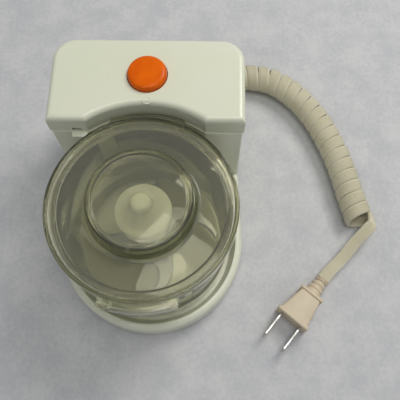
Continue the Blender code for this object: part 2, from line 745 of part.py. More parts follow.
def belt_loop(offset):
    """The line of the belt round both pulleys, this far off their rims."""
    lean = math.degrees(math.asin((SPINDLE_PULLEY_RADIUS - MOTOR_PULLEY_RADIUS) / MOTOR_DEPTH))
    points = arc(0.0, BOWL_Y, SPINDLE_PULLEY_RADIUS + offset, 180.0 - lean, 360.0 + lean, 28)
    points += arc(0.0, MOTOR_AXIS[1], MOTOR_PULLEY_RADIUS + offset, lean, 180.0 - lean, 12)
    return points


def make_belt_drive():
    middle = (PULLEY_LOW + PULLEY_HIGH) / 2
    inner = 0.0002
    loops = [belt_loop(inner + BELT_THICKNESS), belt_loop(inner)]
    plate("drive_belt", loops, middle - BELT_WIDTH / 2, middle + BELT_WIDTH / 2, RUBBER)
    bore = SPINDLE_RADIUS + 0.0002
    pulley = turned("spindle_pulley", pulley_profile(bore, SPINDLE_PULLEY_RADIUS), NYLON, BOWL_AXIS)
    shaft = disc("spindle_shaft", SPINDLE_RADIUS, PULLEY_LOW - 0.0002, SPINDLE_TOP, STEEL, BOWL_AXIS, steps=24)
    flat = block("spindle_flat", (0.0060, 0.0030, 0.0090), at(0.0, SPINDLE_RADIUS + 0.0008, SPINDLE_TOP - 0.0020))
    cut(shaft, flat)
    bushing_low = PULLEY_HIGH + 0.0002
    bushing_high = BOSS_TOP - GAP
    inside = SPINDLE_RADIUS + GAP
    bushing = ring("spindle_bushing", inside, BUSHING_RADIUS, bushing_low, bushing_high, BRONZE, BOWL_AXIS, steps=32)
    seal_low = BOSS_TOP + GAP
    seal = ring("spindle_seal", inside, BOSS_RADIUS - 0.0003, seal_low, seal_low + 0.0012, RUBBER, BOWL_AXIS, steps=32)
    smooth(pulley, shaft, bushing, seal)


def make_button():
    """The round push button: a cap with a soft edge, a flange under the cover and a stem on the switch."""
    profile = [
        (0.0, BUTTON_TOP),
        (BUTTON_RADIUS - 0.0030, BUTTON_TOP - 0.0002),
        (BUTTON_RADIUS - 0.0010, BUTTON_TOP - 0.0008),
        (BUTTON_RADIUS - 0.0002, BUTTON_TOP - 0.0017),
        (BUTTON_RADIUS, BUTTON_TOP - 0.0027),
        (BUTTON_RADIUS, FLANGE_TOP),
        (BUTTON_RADIUS + 0.0018, FLANGE_TOP),
        (BUTTON_RADIUS + 0.0018, FLANGE_LOW),
        (BUTTON_STEM, FLANGE_LOW),
        (BUTTON_STEM, STEM_LOW),
        (0.0, STEM_LOW),
    ]
    smooth(turned("button", profile, ORANGE, BUTTON_AXIS, closed=False, steps=40))


def make_button_spring():
    low = SWITCH_TOP + GAP
    high = FLANGE_LOW - GAP
    wire = 0.00045
    coil = BUTTON_STEM + 0.0027
    turns = 4
    steps = turns * 12
    points = []
    for step in range(steps + 1):
        angle = math.tau * step / 12
        height = low + wire + (high - low - 2 * wire) * step / steps
        points.append(Vector(BUTTON_AXIS) + Vector((coil * math.cos(angle), coil * math.sin(angle), height)))
    tube("button_spring", points, wire, STEEL)


def make_switch():
    """The switch under the button, with its plunger."""
    middle = Vector(BUTTON_AXIS)
    height = SWITCH_TOP - CHASSIS_TOP - GAP
    centre = middle + Vector((0.0, 0.0, SWITCH_TOP - height / 2))
    body = block("switch_body", (0.0280, 0.0160, height), centre, BLACK)
    plunger_low = SWITCH_TOP - 0.0035
    room_low = plunger_low - BUTTON_TRAVEL - 0.0005
    cut(body, disc("plunger_room", PLUNGER_RADIUS + GAP, room_low, SWITCH_TOP + 0.001, place=middle))
    plunger_top = STEM_LOW - GAP
    plunger = disc("switch_plunger", PLUNGER_RADIUS, plunger_low, plunger_top, NYLON, BUTTON_AXIS)
    smooth(plunger)


def make_interlock():
    """The pin that the turned lid pushes through the tower's front, and the small switch that it works."""
    collar = PIN_RADIUS + 0.0012
    wall_inside = NOTCH_RADIUS + WALL - PIN_TIP + GAP
    profile = [
        (0.0, PIN_LENGTH),
        (PIN_RADIUS, PIN_LENGTH),
        (PIN_RADIUS, wall_inside + 0.0012),
        (collar, wall_inside + 0.0012),
        (collar, wall_inside),
        (PIN_RADIUS, wall_inside),
        (PIN_RADIUS, 0.0005),
        (PIN_RADIUS - 0.0005, 0.0),
        (0.0, 0.0),
    ]
    pin = turned("interlock_pin", profile, NYLON, polar(PIN_TIP, PIN_ANGLE, PIN_HEIGHT), closed=False, steps=20)
    lay_along(pin, PIN_ANGLE)
    smooth(pin)
    depth = 0.0085
    near = PIN_TIP + PIN_LENGTH + 0.0004
    low = CHASSIS_TOP + GAP
    high = PIN_HEIGHT + 0.0028
    centre = polar(near + depth / 2, PIN_ANGLE, (low + high) / 2)
    switch = block("interlock_switch", (depth, 0.0120, high - low), centre, BLACK, PIN_ANGLE)
    room = disc("pin_room", PIN_RADIUS + GAP, -0.0010, 0.0030, place=polar(near, PIN_ANGLE, PIN_HEIGHT))
    lay_along(room, PIN_ANGLE)
    cut(switch, room)


def make_leads():
    """The two wires from the cord's relief up to the switch, past the right of the motor."""
    slot_x = 0.0350
    back = MOTOR_AXIS[1] + 0.0055 - BOWL_Y
    switch_side = 0.0140 + GAP
    for name, side, finish in (("lead_live", 1, BROWN), ("lead_neutral", -1, BLUE)):
        shift = side * 0.0013
        points = [
            at(shift, REAR_DEPTH - 0.0080, GLAND_HEIGHT),
            at(0.0045 + shift, back + 0.0042 + shift, GLAND_HEIGHT),
            at(0.0220, back + 0.0020 + shift, GLAND_HEIGHT),
            at(slot_x - 0.0015, back + 0.0002 + shift, MOUNT_PLATE_LOW - 0.0015),
            at(slot_x - 0.0002, back + shift, MOUNT_PLATE_TOP + 0.0040),
            at(slot_x, back + shift, MOUNT_PLATE_TOP + 0.0150),
            at(slot_x, back + shift, CHASSIS_LOW - 0.0060),
            at(slot_x - 0.0005, back + shift, CHASSIS_TOP + 0.0010),
            at(slot_x - 0.0050, back - 0.0030 + shift, CHASSIS_TOP + 0.0055),
            at(0.0230, BUTTON_DEPTH + side * 0.0025, CHASSIS_TOP + 0.0065),
            at(switch_side, BUTTON_DEPTH + side * 0.0030, CHASSIS_TOP + 0.0065),
        ]
        tube(name, smooth_route(points, 3), 0.0009, finish)


def make_strain_relief():
    """The cord's tapered sleeve through the rear wall, with a flange on each side of it."""
    neck = RELIEF_RADIUS - 0.0012
    inside = -(GAP + WALL + GAP)
    profile = [
        (0.0, RELIEF_REACH),
        (CORD_RADIUS + 0.0009, RELIEF_REACH),
        (RELIEF_RADIUS - 0.0004, GAP + 0.0020),
        (RELIEF_RADIUS, GAP + 0.0010),
        (RELIEF_RADIUS, GAP),
        (neck, GAP),
        (neck, inside),
        (RELIEF_RADIUS - 0.0002, inside),
        (RELIEF_RADIUS - 0.0002, -0.0070),
        (0.0, -0.0070),
    ]
    relief = turned("strain_relief", profile, VINYL, at(0.0, REAR_DEPTH, GLAND_HEIGHT), closed=False, steps=24)
    lay_along(relief, 90.0)
    smooth(relief)


def make_bowl():
    """The bowl: a straight wall, a hollow post over the spindle's boss, and two lugs under its rim."""
    soft = 0.0004
    wall_foot = BOWL_FOOT_RADIUS - BOWL_WALL
    profile = [
        (BOWL_RIM_RADIUS - BOWL_WALL + soft, BOWL_RIM_HEIGHT),
        (BOWL_RIM_RADIUS - soft, BOWL_RIM_HEIGHT),
        (BOWL_RIM_RADIUS, BOWL_RIM_HEIGHT - soft),
        (BOWL_FOOT_RADIUS, BOWL_BOTTOM + 0.0032),
        (BOWL_FOOT_RADIUS - 0.0006, BOWL_BOTTOM + 0.0010),
        (BOWL_FOOT_RADIUS - 0.0019, BOWL_BOTTOM),
        (TUBE_BORE, BOWL_BOTTOM),
        (TUBE_BORE, TUBE_TOP),
        (TUBE_RADIUS, TUBE_TOP),
        (TUBE_RADIUS, BOWL_FLOOR),
        (wall_foot - 0.0015, BOWL_FLOOR),
        (wall_foot, BOWL_FLOOR + 0.0016),
        (BOWL_RIM_RADIUS - BOWL_WALL, BOWL_RIM_HEIGHT - soft),
    ]
    bowl = turned("bowl", profile, SMOKE, BOWL_AXIS)
    reach = LUG_REACH + BOWL_WALL / 2
    radius = BOWL_RIM_RADIUS - BOWL_WALL / 2 + reach / 2
    for number, angle in enumerate((LUG_ANGLE, LUG_ANGLE + 180.0), 1):
        place = polar(radius, angle, LUG_TOP - LUG_THICKNESS / 2)
        join(bowl, block(f"lug_{number}", (reach, LUG_LENGTH, LUG_THICKNESS), place, turn=angle))
    smooth(bowl)


def lid_profile():
    """From the middle of the hollow grip, over the plate to the beaded rim, and back under the lip and seat."""
    grip_inside = GRIP_RIM_RADIUS - LID_PLATE + 0.0003
    plate_low = LID_TOP - LID_PLATE
    return [
        (0.0, GRIP_TOP - GRIP_LIP),
        (GRIP_RIM_RADIUS - 0.0032, GRIP_TOP - GRIP_LIP),
        (GRIP_RIM_RADIUS - 0.0026, GRIP_TOP),
        (GRIP_RIM_RADIUS - 0.0006, GRIP_TOP),
        (GRIP_RIM_RADIUS, GRIP_TOP - 0.0007),
        (GRIP_FOOT_RADIUS, LID_TOP + 0.0016),
        (GRIP_FOOT_RADIUS + 0.0018, LID_TOP + 0.0002),
        (LID_RADIUS - 0.0006 - LID_BEAD_WIDTH, LID_TOP),
        (LID_RADIUS - LID_BEAD_WIDTH, LID_TOP + LID_BEAD_HEIGHT),
        (LID_RADIUS - 0.0004, LID_TOP + LID_BEAD_HEIGHT),
        (LID_RADIUS, LID_TOP + LID_BEAD_HEIGHT - 0.0005),
        (LID_RADIUS, LIP_LOW),
        (LID_RADIUS - LIP_WALL, LIP_LOW),
        (LID_RADIUS - LIP_WALL, SEAT_HEIGHT),
        (BOWL_RIM_RADIUS - BOWL_WALL - 0.0008, SEAT_HEIGHT),
        (BOWL_RIM_RADIUS - BOWL_WALL - 0.0016, plate_low),
        (GRIP_FOOT_RADIUS - 0.0016, plate_low),
        (grip_inside, GRIP_TOP - GRIP_LIP - LID_PLATE),
        (0.0, GRIP_TOP - GRIP_LIP - LID_PLATE),
    ]


def make_lid():
    """The lid, and the two hooked ears that pass under the bowl's lugs as it turns."""
    lid = turned("lid", lid_profile(), SMOKE, BOWL_AXIS, closed=False)
    hook = BOWL_RIM_RADIUS + 0.0009
    flange = LID_RADIUS - 0.0013
    section = [
        (flange, EAR_TOP),
        (EAR_RADIUS - 0.0004, EAR_TOP),
        (EAR_RADIUS, EAR_TOP - 0.0004),
        (EAR_RADIUS, EAR_LOW),
        (hook, EAR_LOW),
        (hook, EAR_LOW + EAR_WALL),
        (EAR_RADIUS - EAR_WALL, EAR_LOW + EAR_WALL),
        (EAR_RADIUS - EAR_WALL, EAR_TOP - EAR_WALL),
        (flange, EAR_TOP - EAR_WALL),
    ]
    hooks = turned("ear_hooks", section, place=BOWL_AXIS)
    height = EAR_TOP - EAR_LOW + 0.002
    middle = (EAR_TOP + EAR_LOW) / 2
    window = block("ear_window", (2 * EAR_HALF_WIDTH, 0.1200, height), at(0.0, 0.0, middle))
    boolean(hooks, window, "INTERSECT")
    ends = ring("ear_ends", hook, EAR_RADIUS - 0.0001, EAR_LOW + 0.0001, EAR_TOP - 0.0001, place=BOWL_AXIS)
    end_x = EAR_HALF_WIDTH - EAR_WALL / 2 - 0.0001
    rear_end = block("rear_ear_end", (EAR_WALL, 0.0300, height), at(end_x, 0.0480, middle))
    front_end = block("front_ear_end", (EAR_WALL, 0.0300, height), at(-end_x, -0.0480, middle))
    join(rear_end, front_end)
    boolean(ends, rear_end, "INTERSECT")
    join(lid, hooks, ends)
    smooth(lid)


def make_lid_seal():
    """A flat ring between the bowl's rim and the lid's seat."""
    inner = BOWL_RIM_RADIUS - BOWL_WALL + GAP
    outer = BOWL_RIM_RADIUS - GAP
    smooth(ring("lid_seal", inner, outer, SEAL_LOW, SEAL_LOW + SEAL_HEIGHT, SEALING, BOWL_AXIS))


def make_blade_hub():
    """The hub that drops over the bowl's post: a stem, a wide cap and a domed knob to lift it by."""
    low = LOWER_BLADE_HEIGHT - GAP - 0.0012
    ceiling = TUBE_TOP + GAP
    socket = SPINDLE_RADIUS + GAP
    dome = []
    for step in range(1, 6):
        turn = math.radians(90.0 * step / 6)
        rise = HUB_TOP - HUB_CAP_TOP - 0.0020
        radius = HUB_KNOB_RADIUS + (HUB_CAP_RADIUS - 0.0010 - HUB_KNOB_RADIUS) * math.cos(turn)
        dome.append((radius, HUB_CAP_TOP + rise * math.sin(turn) ** 1.6))
    profile = [(0.0, HUB_TOP), (HUB_KNOB_RADIUS - 0.0012, HUB_TOP - 0.0003), (HUB_KNOB_RADIUS, HUB_TOP - 0.0014)]
    profile += list(reversed(dome))
    profile += [
        (HUB_CAP_RADIUS, HUB_CAP_TOP - 0.0006),
        (HUB_CAP_RADIUS, HUB_CAP_LOW),
        (HUB_STEM_RADIUS, HUB_CAP_LOW - 0.0020),
        (HUB_STEM_RADIUS, low),
        (HUB_BORE, low),
        (HUB_BORE, ceiling),
        (socket, ceiling),
        (socket, SPINDLE_TOP + GAP),
        (0.0, SPINDLE_TOP + GAP),
    ]
    smooth(turned("blade_hub", profile, MILK, BOWL_AXIS, closed=False, steps=40))


def blade_outline(first_angle):
    """Two swept arms on a ring, half a turn apart."""
    ring_radius = HUB_STEM_RADIUS + GAP + BLADE_RING_WIDTH
    root = 0.0058
    tip = 0.0026
    sweep = 34.0
    count = 7
    points = []
    for arm in range(2):
        middle = first_angle + 180.0 * arm
        edges = {-1: [], 1: []}
        for step in range(count + 1):
            part = step / count
            radius = ring_radius + (BLADE_REACH - ring_radius) * part
            half = root + (tip - root) * part
            for side in (-1, 1):
                angle = middle - sweep * part**1.6 + side * math.degrees(half / radius)
                edges[side] += arc(0.0, 0.0, radius, angle, angle, 1)[:1]
        points += edges[-1] + list(reversed(edges[1]))
        half_root = math.degrees(root / ring_radius)
        points += arc(0.0, 0.0, ring_radius, middle + half_root, middle + 180.0 - half_root, 8)[1:-1]
    return points


def make_blades():
    """Two knives on the hub's stem, one near the bowl's floor and one higher, a quarter turn apart."""
    inner = circle(0.0, 0.0, HUB_STEM_RADIUS + GAP, 32)
    for name, low, angle in (
        ("blade_lower", LOWER_BLADE_HEIGHT, -60.0),
        ("blade_upper", UPPER_BLADE_HEIGHT, 30.0),
    ):
        plate(name, [blade_outline(angle), inner], low, low + BLADE_THICKNESS, STEEL, BOWL_AXIS)


def make_cord():
    """A short straight lead, the curly run as one fat tube, and a straight tail to the plug."""
    lead = [
        at(0.0, REAR_DEPTH + RELIEF_REACH + GAP, GLAND_HEIGHT),
        at(0.0003, 0.1095, 0.0085),
        at(0.0020, 0.1140, 0.0084),
        at(0.0060, 0.1182, 0.0083),
        at(0.0130, 0.1205, 0.0083),
        at(0.0220, 0.1198, 0.0083),
        at(0.0320, 0.1162, 0.0083),
        at(0.0380, 0.1142, 0.0083),
        at(0.0440, 0.1138, 0.0083),
    ]
    coil = [
        at(0.0445, 0.1137, 0.0083),
        at(0.0566, 0.1132, 0.0083),
        at(0.0659, 0.1120, 0.0083),
        at(0.0753, 0.1087, 0.0083),
        at(0.0889, 0.0975, 0.0083),
        at(0.1002, 0.0819, 0.0083),
        at(0.1090, 0.0626, 0.0083),
        at(0.1141, 0.0467, 0.0083),
        at(0.1178, 0.0312, 0.0083),
        at(0.1212, 0.0185, 0.0083),
        at(0.1223, 0.0153, 0.0083),
    ]
    tail = [
        at(0.1282, 0.0146, 0.0105),
        at(0.1240, 0.0089, 0.0105),
        at(0.1180, 0.0019, 0.0083),
        at(0.1100, -0.0076, 0.0060),
        at(0.1030, -0.0145, 0.0067),
        at(0.0985, -0.0198, 0.0072),
    ]
    tube("cord_lead", smooth_route(lead, 2), CORD_RADIUS, VINYL)
    tube("cord_coil", smooth_route(coil, 2), COIL_RADIUS, VINYL, resolution=4)
    tube("cord_tail", smooth_route(tail, 2), CORD_RADIUS, VINYL)


def make_plug():
    """A moulded plug lying on its narrow side, its two blades and the ribbed sleeve the tail goes into."""
    shoulder = at(0.0914, -0.0284, PLUG_MIDDLE)
    angle = math.degrees(math.atan2(-0.0150, -0.0123))
    mesh = bpy.data.meshes.new("plug_body")
    shape = bmesh.new()
    bmesh.ops.create_cube(shape, size=1.0)
    for vert in shape.verts:
        width = PLUG_FRONT_WIDTH if vert.co.x > 0 else PLUG_REAR_WIDTH
        vert.co = ((vert.co.x + 0.5) * PLUG_LENGTH, vert.co.y * width, vert.co.z * PLUG_HEIGHT)
    bmesh.ops.bevel(
        shape, geom=shape.edges[:], offset=0.0020, segments=2, profile=0.5, affect="EDGES", clamp_overlap=True
    )
    shape.to_mesh(mesh)
    shape.free()
    body = add_mesh("plug_body", mesh, VINYL, shoulder)
    body.rotation_euler.z = math.radians(angle)
    profile = [
        (0.0, 0.0010),
        (0.0046, 0.0010),
        (CORD_RADIUS + 0.0006, -PLUG_RELIEF_LENGTH),
        (0.0, -PLUG_RELIEF_LENGTH),
    ]
    relief = turned("plug_relief", profile, place=shoulder, closed=False, steps=24)
    lay_along(relief, angle)
    join(body, relief)
    smooth(body)
    turn = Matrix.Rotation(math.radians(angle), 4, "Z")
    for side, word in ((1, "left"), (-1, "right")):
        middle = Vector((PLUG_LENGTH + GAP + PRONG_LENGTH / 2, side * PRONG_SPACING / 2, 0.0))
        prong = (PRONG_LENGTH, PRONG_THICKNESS, PRONG_WIDTH)
        block("plug_blade_" + word, prong, shoulder + turn @ middle, STEEL, angle)


make_housing_shell()
make_top_cover()
make_bottom_cover()
make_feet()
make_bottom_screws()
make_internal_plates()
make_motor_frame()
make_motor_bearings()
make_brushes()
make_rotor()
make_belt_drive()
make_button()
make_button_spring()
make_switch()
make_interlock()
make_leads()
make_strain_relief()
make_bowl()
make_lid()
make_lid_seal()
make_blade_hub()
make_blades()
make_cord()
make_plug()
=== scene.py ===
# %% [markdown]
# # A small food processor, dressed
# The frame holds every part as a plain solid in its true place. This lesson gives the parts
# that are seen a finer shape, gives every part a finish, and sets up a camera, a floor and light.
# Nothing moves from its place: each new piece stands where its plain solid stands.

# %% Load the frame
import json
import math

import bmesh
import bpy
from mathutils import Matrix, Vector


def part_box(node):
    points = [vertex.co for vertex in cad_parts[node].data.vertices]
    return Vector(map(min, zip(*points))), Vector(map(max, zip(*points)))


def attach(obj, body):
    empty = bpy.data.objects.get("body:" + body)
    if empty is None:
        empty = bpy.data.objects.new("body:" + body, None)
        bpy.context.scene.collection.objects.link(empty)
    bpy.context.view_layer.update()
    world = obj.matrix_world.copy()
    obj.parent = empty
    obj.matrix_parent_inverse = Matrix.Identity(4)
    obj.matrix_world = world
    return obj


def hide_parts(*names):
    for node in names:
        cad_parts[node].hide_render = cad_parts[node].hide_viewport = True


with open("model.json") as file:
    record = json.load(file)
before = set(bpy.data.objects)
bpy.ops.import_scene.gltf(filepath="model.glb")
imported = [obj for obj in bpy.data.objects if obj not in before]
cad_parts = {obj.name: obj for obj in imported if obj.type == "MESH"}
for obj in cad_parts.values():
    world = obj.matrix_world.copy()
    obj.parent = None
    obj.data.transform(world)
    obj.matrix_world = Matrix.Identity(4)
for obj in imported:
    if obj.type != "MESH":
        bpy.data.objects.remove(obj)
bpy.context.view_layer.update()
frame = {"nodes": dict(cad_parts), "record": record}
bpy.context.scene.view_settings.view_transform = "Standard"

# %% [markdown]
# ## Where things are
# Two upright axes rule this machine: the bowl's, which the lid, the hub and the round base share,
# and the button's. The bowl's place is read from the spindle shaft, and the button's is given.
# A depth is measured behind the bowl's axis.

# %% Axes and levels
BOWL_Y = (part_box("spindle_shaft")[0].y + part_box("spindle_shaft")[1].y) / 2
BOWL = Vector((0.0, BOWL_Y, 0.0))
MM = 0.001


def at(x, depth, height):
    """A point in millimetres, its depth behind the bowl's axis."""
    return Vector((x * MM, BOWL_Y + depth * MM, height * MM))


def polar(radius, angle, height):
    """A point round the bowl's axis, in millimetres and degrees from the right."""
    turn = math.radians(angle)
    return at(radius * math.cos(turn), radius * math.sin(turn), height)


BUTTON = at(0.0, 68.0, 0.0)
ORIGIN = Vector((0.0, 0.0, 0.0))
print(f"the bowl's axis is at y = {BOWL_Y / MM:.2f} mm")

# %% [markdown]
# ## The camera
# The object is seen from high in front and a little to the right, with a normal lens. The three
# turns are about the upright, then the tilt back from straight down, then the roll.

# %% Camera
CAMERA_PLACE = (0.031678, -0.107264, 0.326228)
HEADING, TILT, ROLL = 0.04154498, 0.34864130, -0.02436067

bpy.ops.object.camera_add(location=CAMERA_PLACE)
camera = bpy.context.object
aim = Matrix.Rotation(HEADING, 4, "Z") @ Matrix.Rotation(TILT, 4, "X") @ Matrix.Rotation(ROLL, 4, "Z")
camera.matrix_world = Matrix.Translation(camera.location) @ aim
camera.data.lens = 50.4
camera.data.sensor_width = 36.0
camera.data.clip_start = 0.01
camera.data.dof.use_dof = False
bpy.context.scene.camera = camera
print(f"the lens is {camera.data.lens} mm")

# %% [markdown]
# ## Selecting by place, and materials as sums
# Picking edges and faces by where they are keeps working when a shape changes, and picking by
# number doesn't. A material is clearer as a sum than as a web of nodes, so a small class lets
# plain arithmetic on a socket add the Math nodes.

# %% Selecting by place
def start():
    """Leaves edit mode and selects nothing."""
    if bpy.context.mode != "OBJECT":
        bpy.ops.object.mode_set(mode="OBJECT")
    bpy.ops.object.select_all(action="DESELECT")


def take(piece):
    """Makes this piece the only one selected, and the active one."""
    start()
    bpy.context.view_layer.objects.active = piece
    piece.select_set(True)


def choose(piece, kind, test):
    """In edit mode, selects the vertices, edges or faces that pass a test."""
    bpy.ops.mesh.select_mode(type=kind)
    bpy.ops.mesh.select_all(action="DESELECT")
    shape = bmesh.from_edit_mesh(piece.data)
    group = {"VERT": shape.verts, "EDGE": shape.edges, "FACE": shape.faces}[kind]
    picked = [item for item in group if test(item)]
    for item in picked:
        item.select_set(True)
    shape.select_flush_mode()
    bmesh.update_edit_mesh(piece.data)
    return len(picked)


# %% Shader maths, written as plain sums
class Value:
    """A number on its way through a material. Sums on it add Math nodes."""

    def __init__(self, finish, socket):
        self.finish = finish
        self.socket = socket

    def math(self, operation, *terms):
        return self.finish.node("ShaderNodeMath", {"operation": operation}, dict(enumerate(terms)))

    def __add__(self, other):
        return self.math("ADD", self, other)

    def __radd__(self, other):
        return self.math("ADD", other, self)

    def __sub__(self, other):
        return self.math("SUBTRACT", self, other)

    def __rsub__(self, other):
        return self.math("SUBTRACT", other, self)

    def __mul__(self, other):
        return self.math("MULTIPLY", self, other)

    def __rmul__(self, other):
        return self.math("MULTIPLY", other, self)

    def smooth(self, low, high):
        """0 below low, 1 above high, and a soft slope between."""
        settings = {"interpolation_type": "SMOOTHSTEP"}
        sockets = {"Value": self, "From Min": low, "From Max": high}
        return self.finish.node("ShaderNodeMapRange", settings, sockets)


class Finish:
    """A material that is built one node at a time."""

    def __init__(self, name):
        self.material = bpy.data.materials.new(name)
        self.material.use_nodes = True
        self.tree = self.material.node_tree
        self.tree.nodes.clear()
        self.place = self.node("ShaderNodeTexCoord", output="Object")

    def node(self, kind, settings=None, sockets=None, output=0):
        """Adds a node: its settings first, then what its sockets hold or are linked to."""
        made = self.tree.nodes.new(kind)
        for name, setting in (settings or {}).items():
            setattr(made, name, setting)
        for name, held in (sockets or {}).items():
            if isinstance(held, Value):
                self.tree.links.new(held.socket, made.inputs[name])
            else:
                made.inputs[name].default_value = held
        return Value(self, made.outputs[output])

    def noise(self, scale, detail=2.0, roughness=0.5, place=None):
        sockets = {"Vector": place or self.place, "Scale": scale}
        sockets.update({"Detail": detail, "Roughness": roughness})
        return self.node("ShaderNodeTexNoise", None, sockets)

    def mix(self, part, first, second):
        """A colour part of the way from the first to the second."""
        sockets = {0: part, 6: (*first, 1.0) if isinstance(first, tuple) else first}
        sockets[7] = (*second, 1.0) if isinstance(second, tuple) else second
        return self.node("ShaderNodeMix", {"data_type": "RGBA"}, sockets, output=2)

    def bump(self, height, distance, strength=1.0):
        sockets = {"Height": height, "Distance": distance, "Strength": strength}
        return self.node("ShaderNodeBump", None, sockets)

    def surface(self, volume=None, **sockets):
        """Ends the material with a Principled shader. Underscores in the names stand for spaces."""
        held = {name.replace("_", " "): value for name, value in sockets.items()}
        for name, value in held.items():
            if isinstance(value, tuple) and len(value) == 3 and name != "Subsurface Radius":
                held[name] = (*value, 1.0)
        shader = self.node("ShaderNodeBsdfPrincipled", None, held)
        ends = {"Surface": shader}
        if volume:
            ends["Volume"] = volume
        out = self.tree.nodes.new("ShaderNodeOutputMaterial")
        for name, end in ends.items():
            self.tree.links.new(end.socket, out.inputs[name])
        return self.material


# %% [markdown]
# ## The floor and the light
# The floor is a large pale sheet with a faint mottle. One panel alone would leave the clear
# plastic black, because most of what it shows is the room, so a soft sky lights from all round.
# A large panel at the right and behind shapes the cover, a second above fills the bowl, and a
# small one in front makes the sharp glints.

# %% Floor and light
def make_floor_finish():
    finish = Finish("pale_floor")
    mottle = finish.noise(55.0, 5.0, 0.62)
    grain = finish.noise(420.0, 3.0, 0.6)
    shade = (0.6 * mottle + 0.4 * grain).smooth(0.36, 0.64)
    colour = finish.mix(shade, (0.50, 0.505, 0.525), (0.60, 0.60, 0.605))
    return finish.surface(Base_Color=colour, Roughness=0.75)


start()
bpy.ops.mesh.primitive_plane_add(size=4.0, location=(0.0, 0.0, 0.0))
floor = bpy.context.object
floor.name = "floor"
floor.data.materials.append(make_floor_finish())

world = bpy.data.worlds.new("studio_sky")
bpy.context.scene.world = world
world.use_nodes = True
sky = world.node_tree.nodes["Background"]
sky.inputs["Color"].default_value = (0.94, 0.97, 1.0, 1.0)
sky.inputs["Strength"].default_value = 0.30


def panel(name, place, aim, size, power, colour=(1.0, 1.0, 1.0)):
    """A square panel light at a place, turned to face a point."""
    bpy.ops.object.light_add(type="AREA", location=place)
    light = bpy.context.object
    light.name = name
    light.data.shape = "SQUARE"
    light.data.size = size
    light.data.energy = power
    light.data.color = colour
    light.rotation_euler = (Vector(aim) - Vector(place)).to_track_quat("-Z", "Y").to_euler()
    return light


panel("side_panel", (0.46, 0.46, 0.80), (0.02, 0.05, 0.0), 0.40, 4.6, (1.0, 0.98, 0.94))
panel("ceiling_panel", (0.14, -0.06, 1.10), (0.02, 0.05, 0.0), 0.40, 2.4, (1.0, 0.99, 0.96))
panel("glint_panel", (-0.25, -0.60, 1.00), (0.0, 0.0, 0.05), 0.10, 0.7)
print("camera, floor and light are ready")

# %% [markdown]
# ## Hands for modelling
# Most of these parts are turned or are slabs of one outline, so two helpers make them. Both begin
# with one vertex that is extruded from point to point. `spun` then spins that line about an
# upright axis, and `slab` fills it and extrudes it upwards. Sharp corners catch no light, so
# `soften` first rounds the corners of the line.

# %% Lines
def soften(points, reach, closed=False, steps=3):
    """Rounds the corners of a line of points, given in millimetres."""
    line = [Vector(point) for point in points]
    if closed:
        middle = (line[0] + line[-1]) / 2
        line = [middle] + line + [middle]
    made = [line[0]]
    for before, corner, after in zip(line, line[1:], line[2:]):
        back = before - corner
        ahead = after - corner
        cut_back = min(reach, back.length * 0.45)
        cut_ahead = min(reach, ahead.length * 0.45)
        first = corner + back.normalized() * cut_back
        last = corner + ahead.normalized() * cut_ahead
        for step in range(steps + 1):
            t = step / steps
            made.append(first * (1 - t) ** 2 + corner * (2 * t * (1 - t)) + last * t * t)
    made.append(line[-1])
    return made


def arc(radius, first, last, count):
    """Points round the bowl's axis in metres, from one angle to another, both ends included."""
    angles = [math.radians(first + (last - first) * step / count) for step in range(count + 1)]
    return [(radius * MM * math.cos(a), BOWL_Y + radius * MM * math.sin(a)) for a in angles]


# %% Extruding from a single vertex
def trace(name, points):
    """Leaves a new piece in edit mode as a line through these points, in metres."""
    start()
    bpy.ops.mesh.primitive_plane_add(size=0.001, location=points[0])
    piece = bpy.context.object
    piece.name = name
    piece.data.name = name
    bpy.ops.object.transform_apply(location=True, rotation=False, scale=False)
    bpy.ops.object.mode_set(mode="EDIT")
    bpy.ops.mesh.select_mode(type="VERT")
    bpy.ops.mesh.select_all(action="SELECT")
    bpy.ops.mesh.merge(type="CENTER")
    for before, after in zip(points, points[1:]):
        step = Vector(after) - Vector(before)
        bpy.ops.mesh.extrude_region_move(TRANSFORM_OT_translate={"value": tuple(step)})
    return piece


def close_up(piece, crease):
    """Merges doubles, turns the faces outwards and smooths all but the sharp edges."""
    bpy.ops.mesh.select_mode(type="VERT")
    bpy.ops.mesh.select_all(action="SELECT")
    bpy.ops.mesh.remove_doubles(threshold=0.00001)
    bpy.ops.mesh.normals_make_consistent(inside=False)
    bpy.ops.object.mode_set(mode="OBJECT")
    bpy.ops.object.shade_smooth_by_angle(angle=math.radians(crease))
    return piece


def spun(name, section, centre=BOWL, steps=128, crease=30.0, shape=None):
    """Spins a section of (radius, height) points in millimetres about an upright axis."""
    points = [centre + Vector((radius * MM, 0.0, height * MM)) for radius, height in section]
    piece = trace(name, points)
    bpy.ops.mesh.select_all(action="SELECT")
    bpy.ops.mesh.spin(steps=steps, angle=math.tau, center=centre, axis=(0.0, 0.0, 1.0))
    bpy.ops.mesh.select_mode(type="VERT")
    bpy.ops.mesh.select_all(action="SELECT")
    bpy.ops.mesh.remove_doubles(threshold=0.00001)
    if shape:
        shape(piece)
    return close_up(piece, crease)


def slab(name, outline, low, high):
    """Fills an outline of (x, y) points in metres, and extrudes it between heights in millimetres."""
    points = [(x, y, low * MM) for x, y in outline]
    piece = trace(name, points + points[:1])
    bpy.ops.mesh.select_all(action="SELECT")
    bpy.ops.mesh.remove_doubles(threshold=0.00001)
    bpy.ops.mesh.edge_face_add()
    rise = (0.0, 0.0, (high - low) * MM)
    bpy.ops.mesh.extrude_region_move(TRANSFORM_OT_translate={"value": rise})
    return close_up(piece, 30.0)


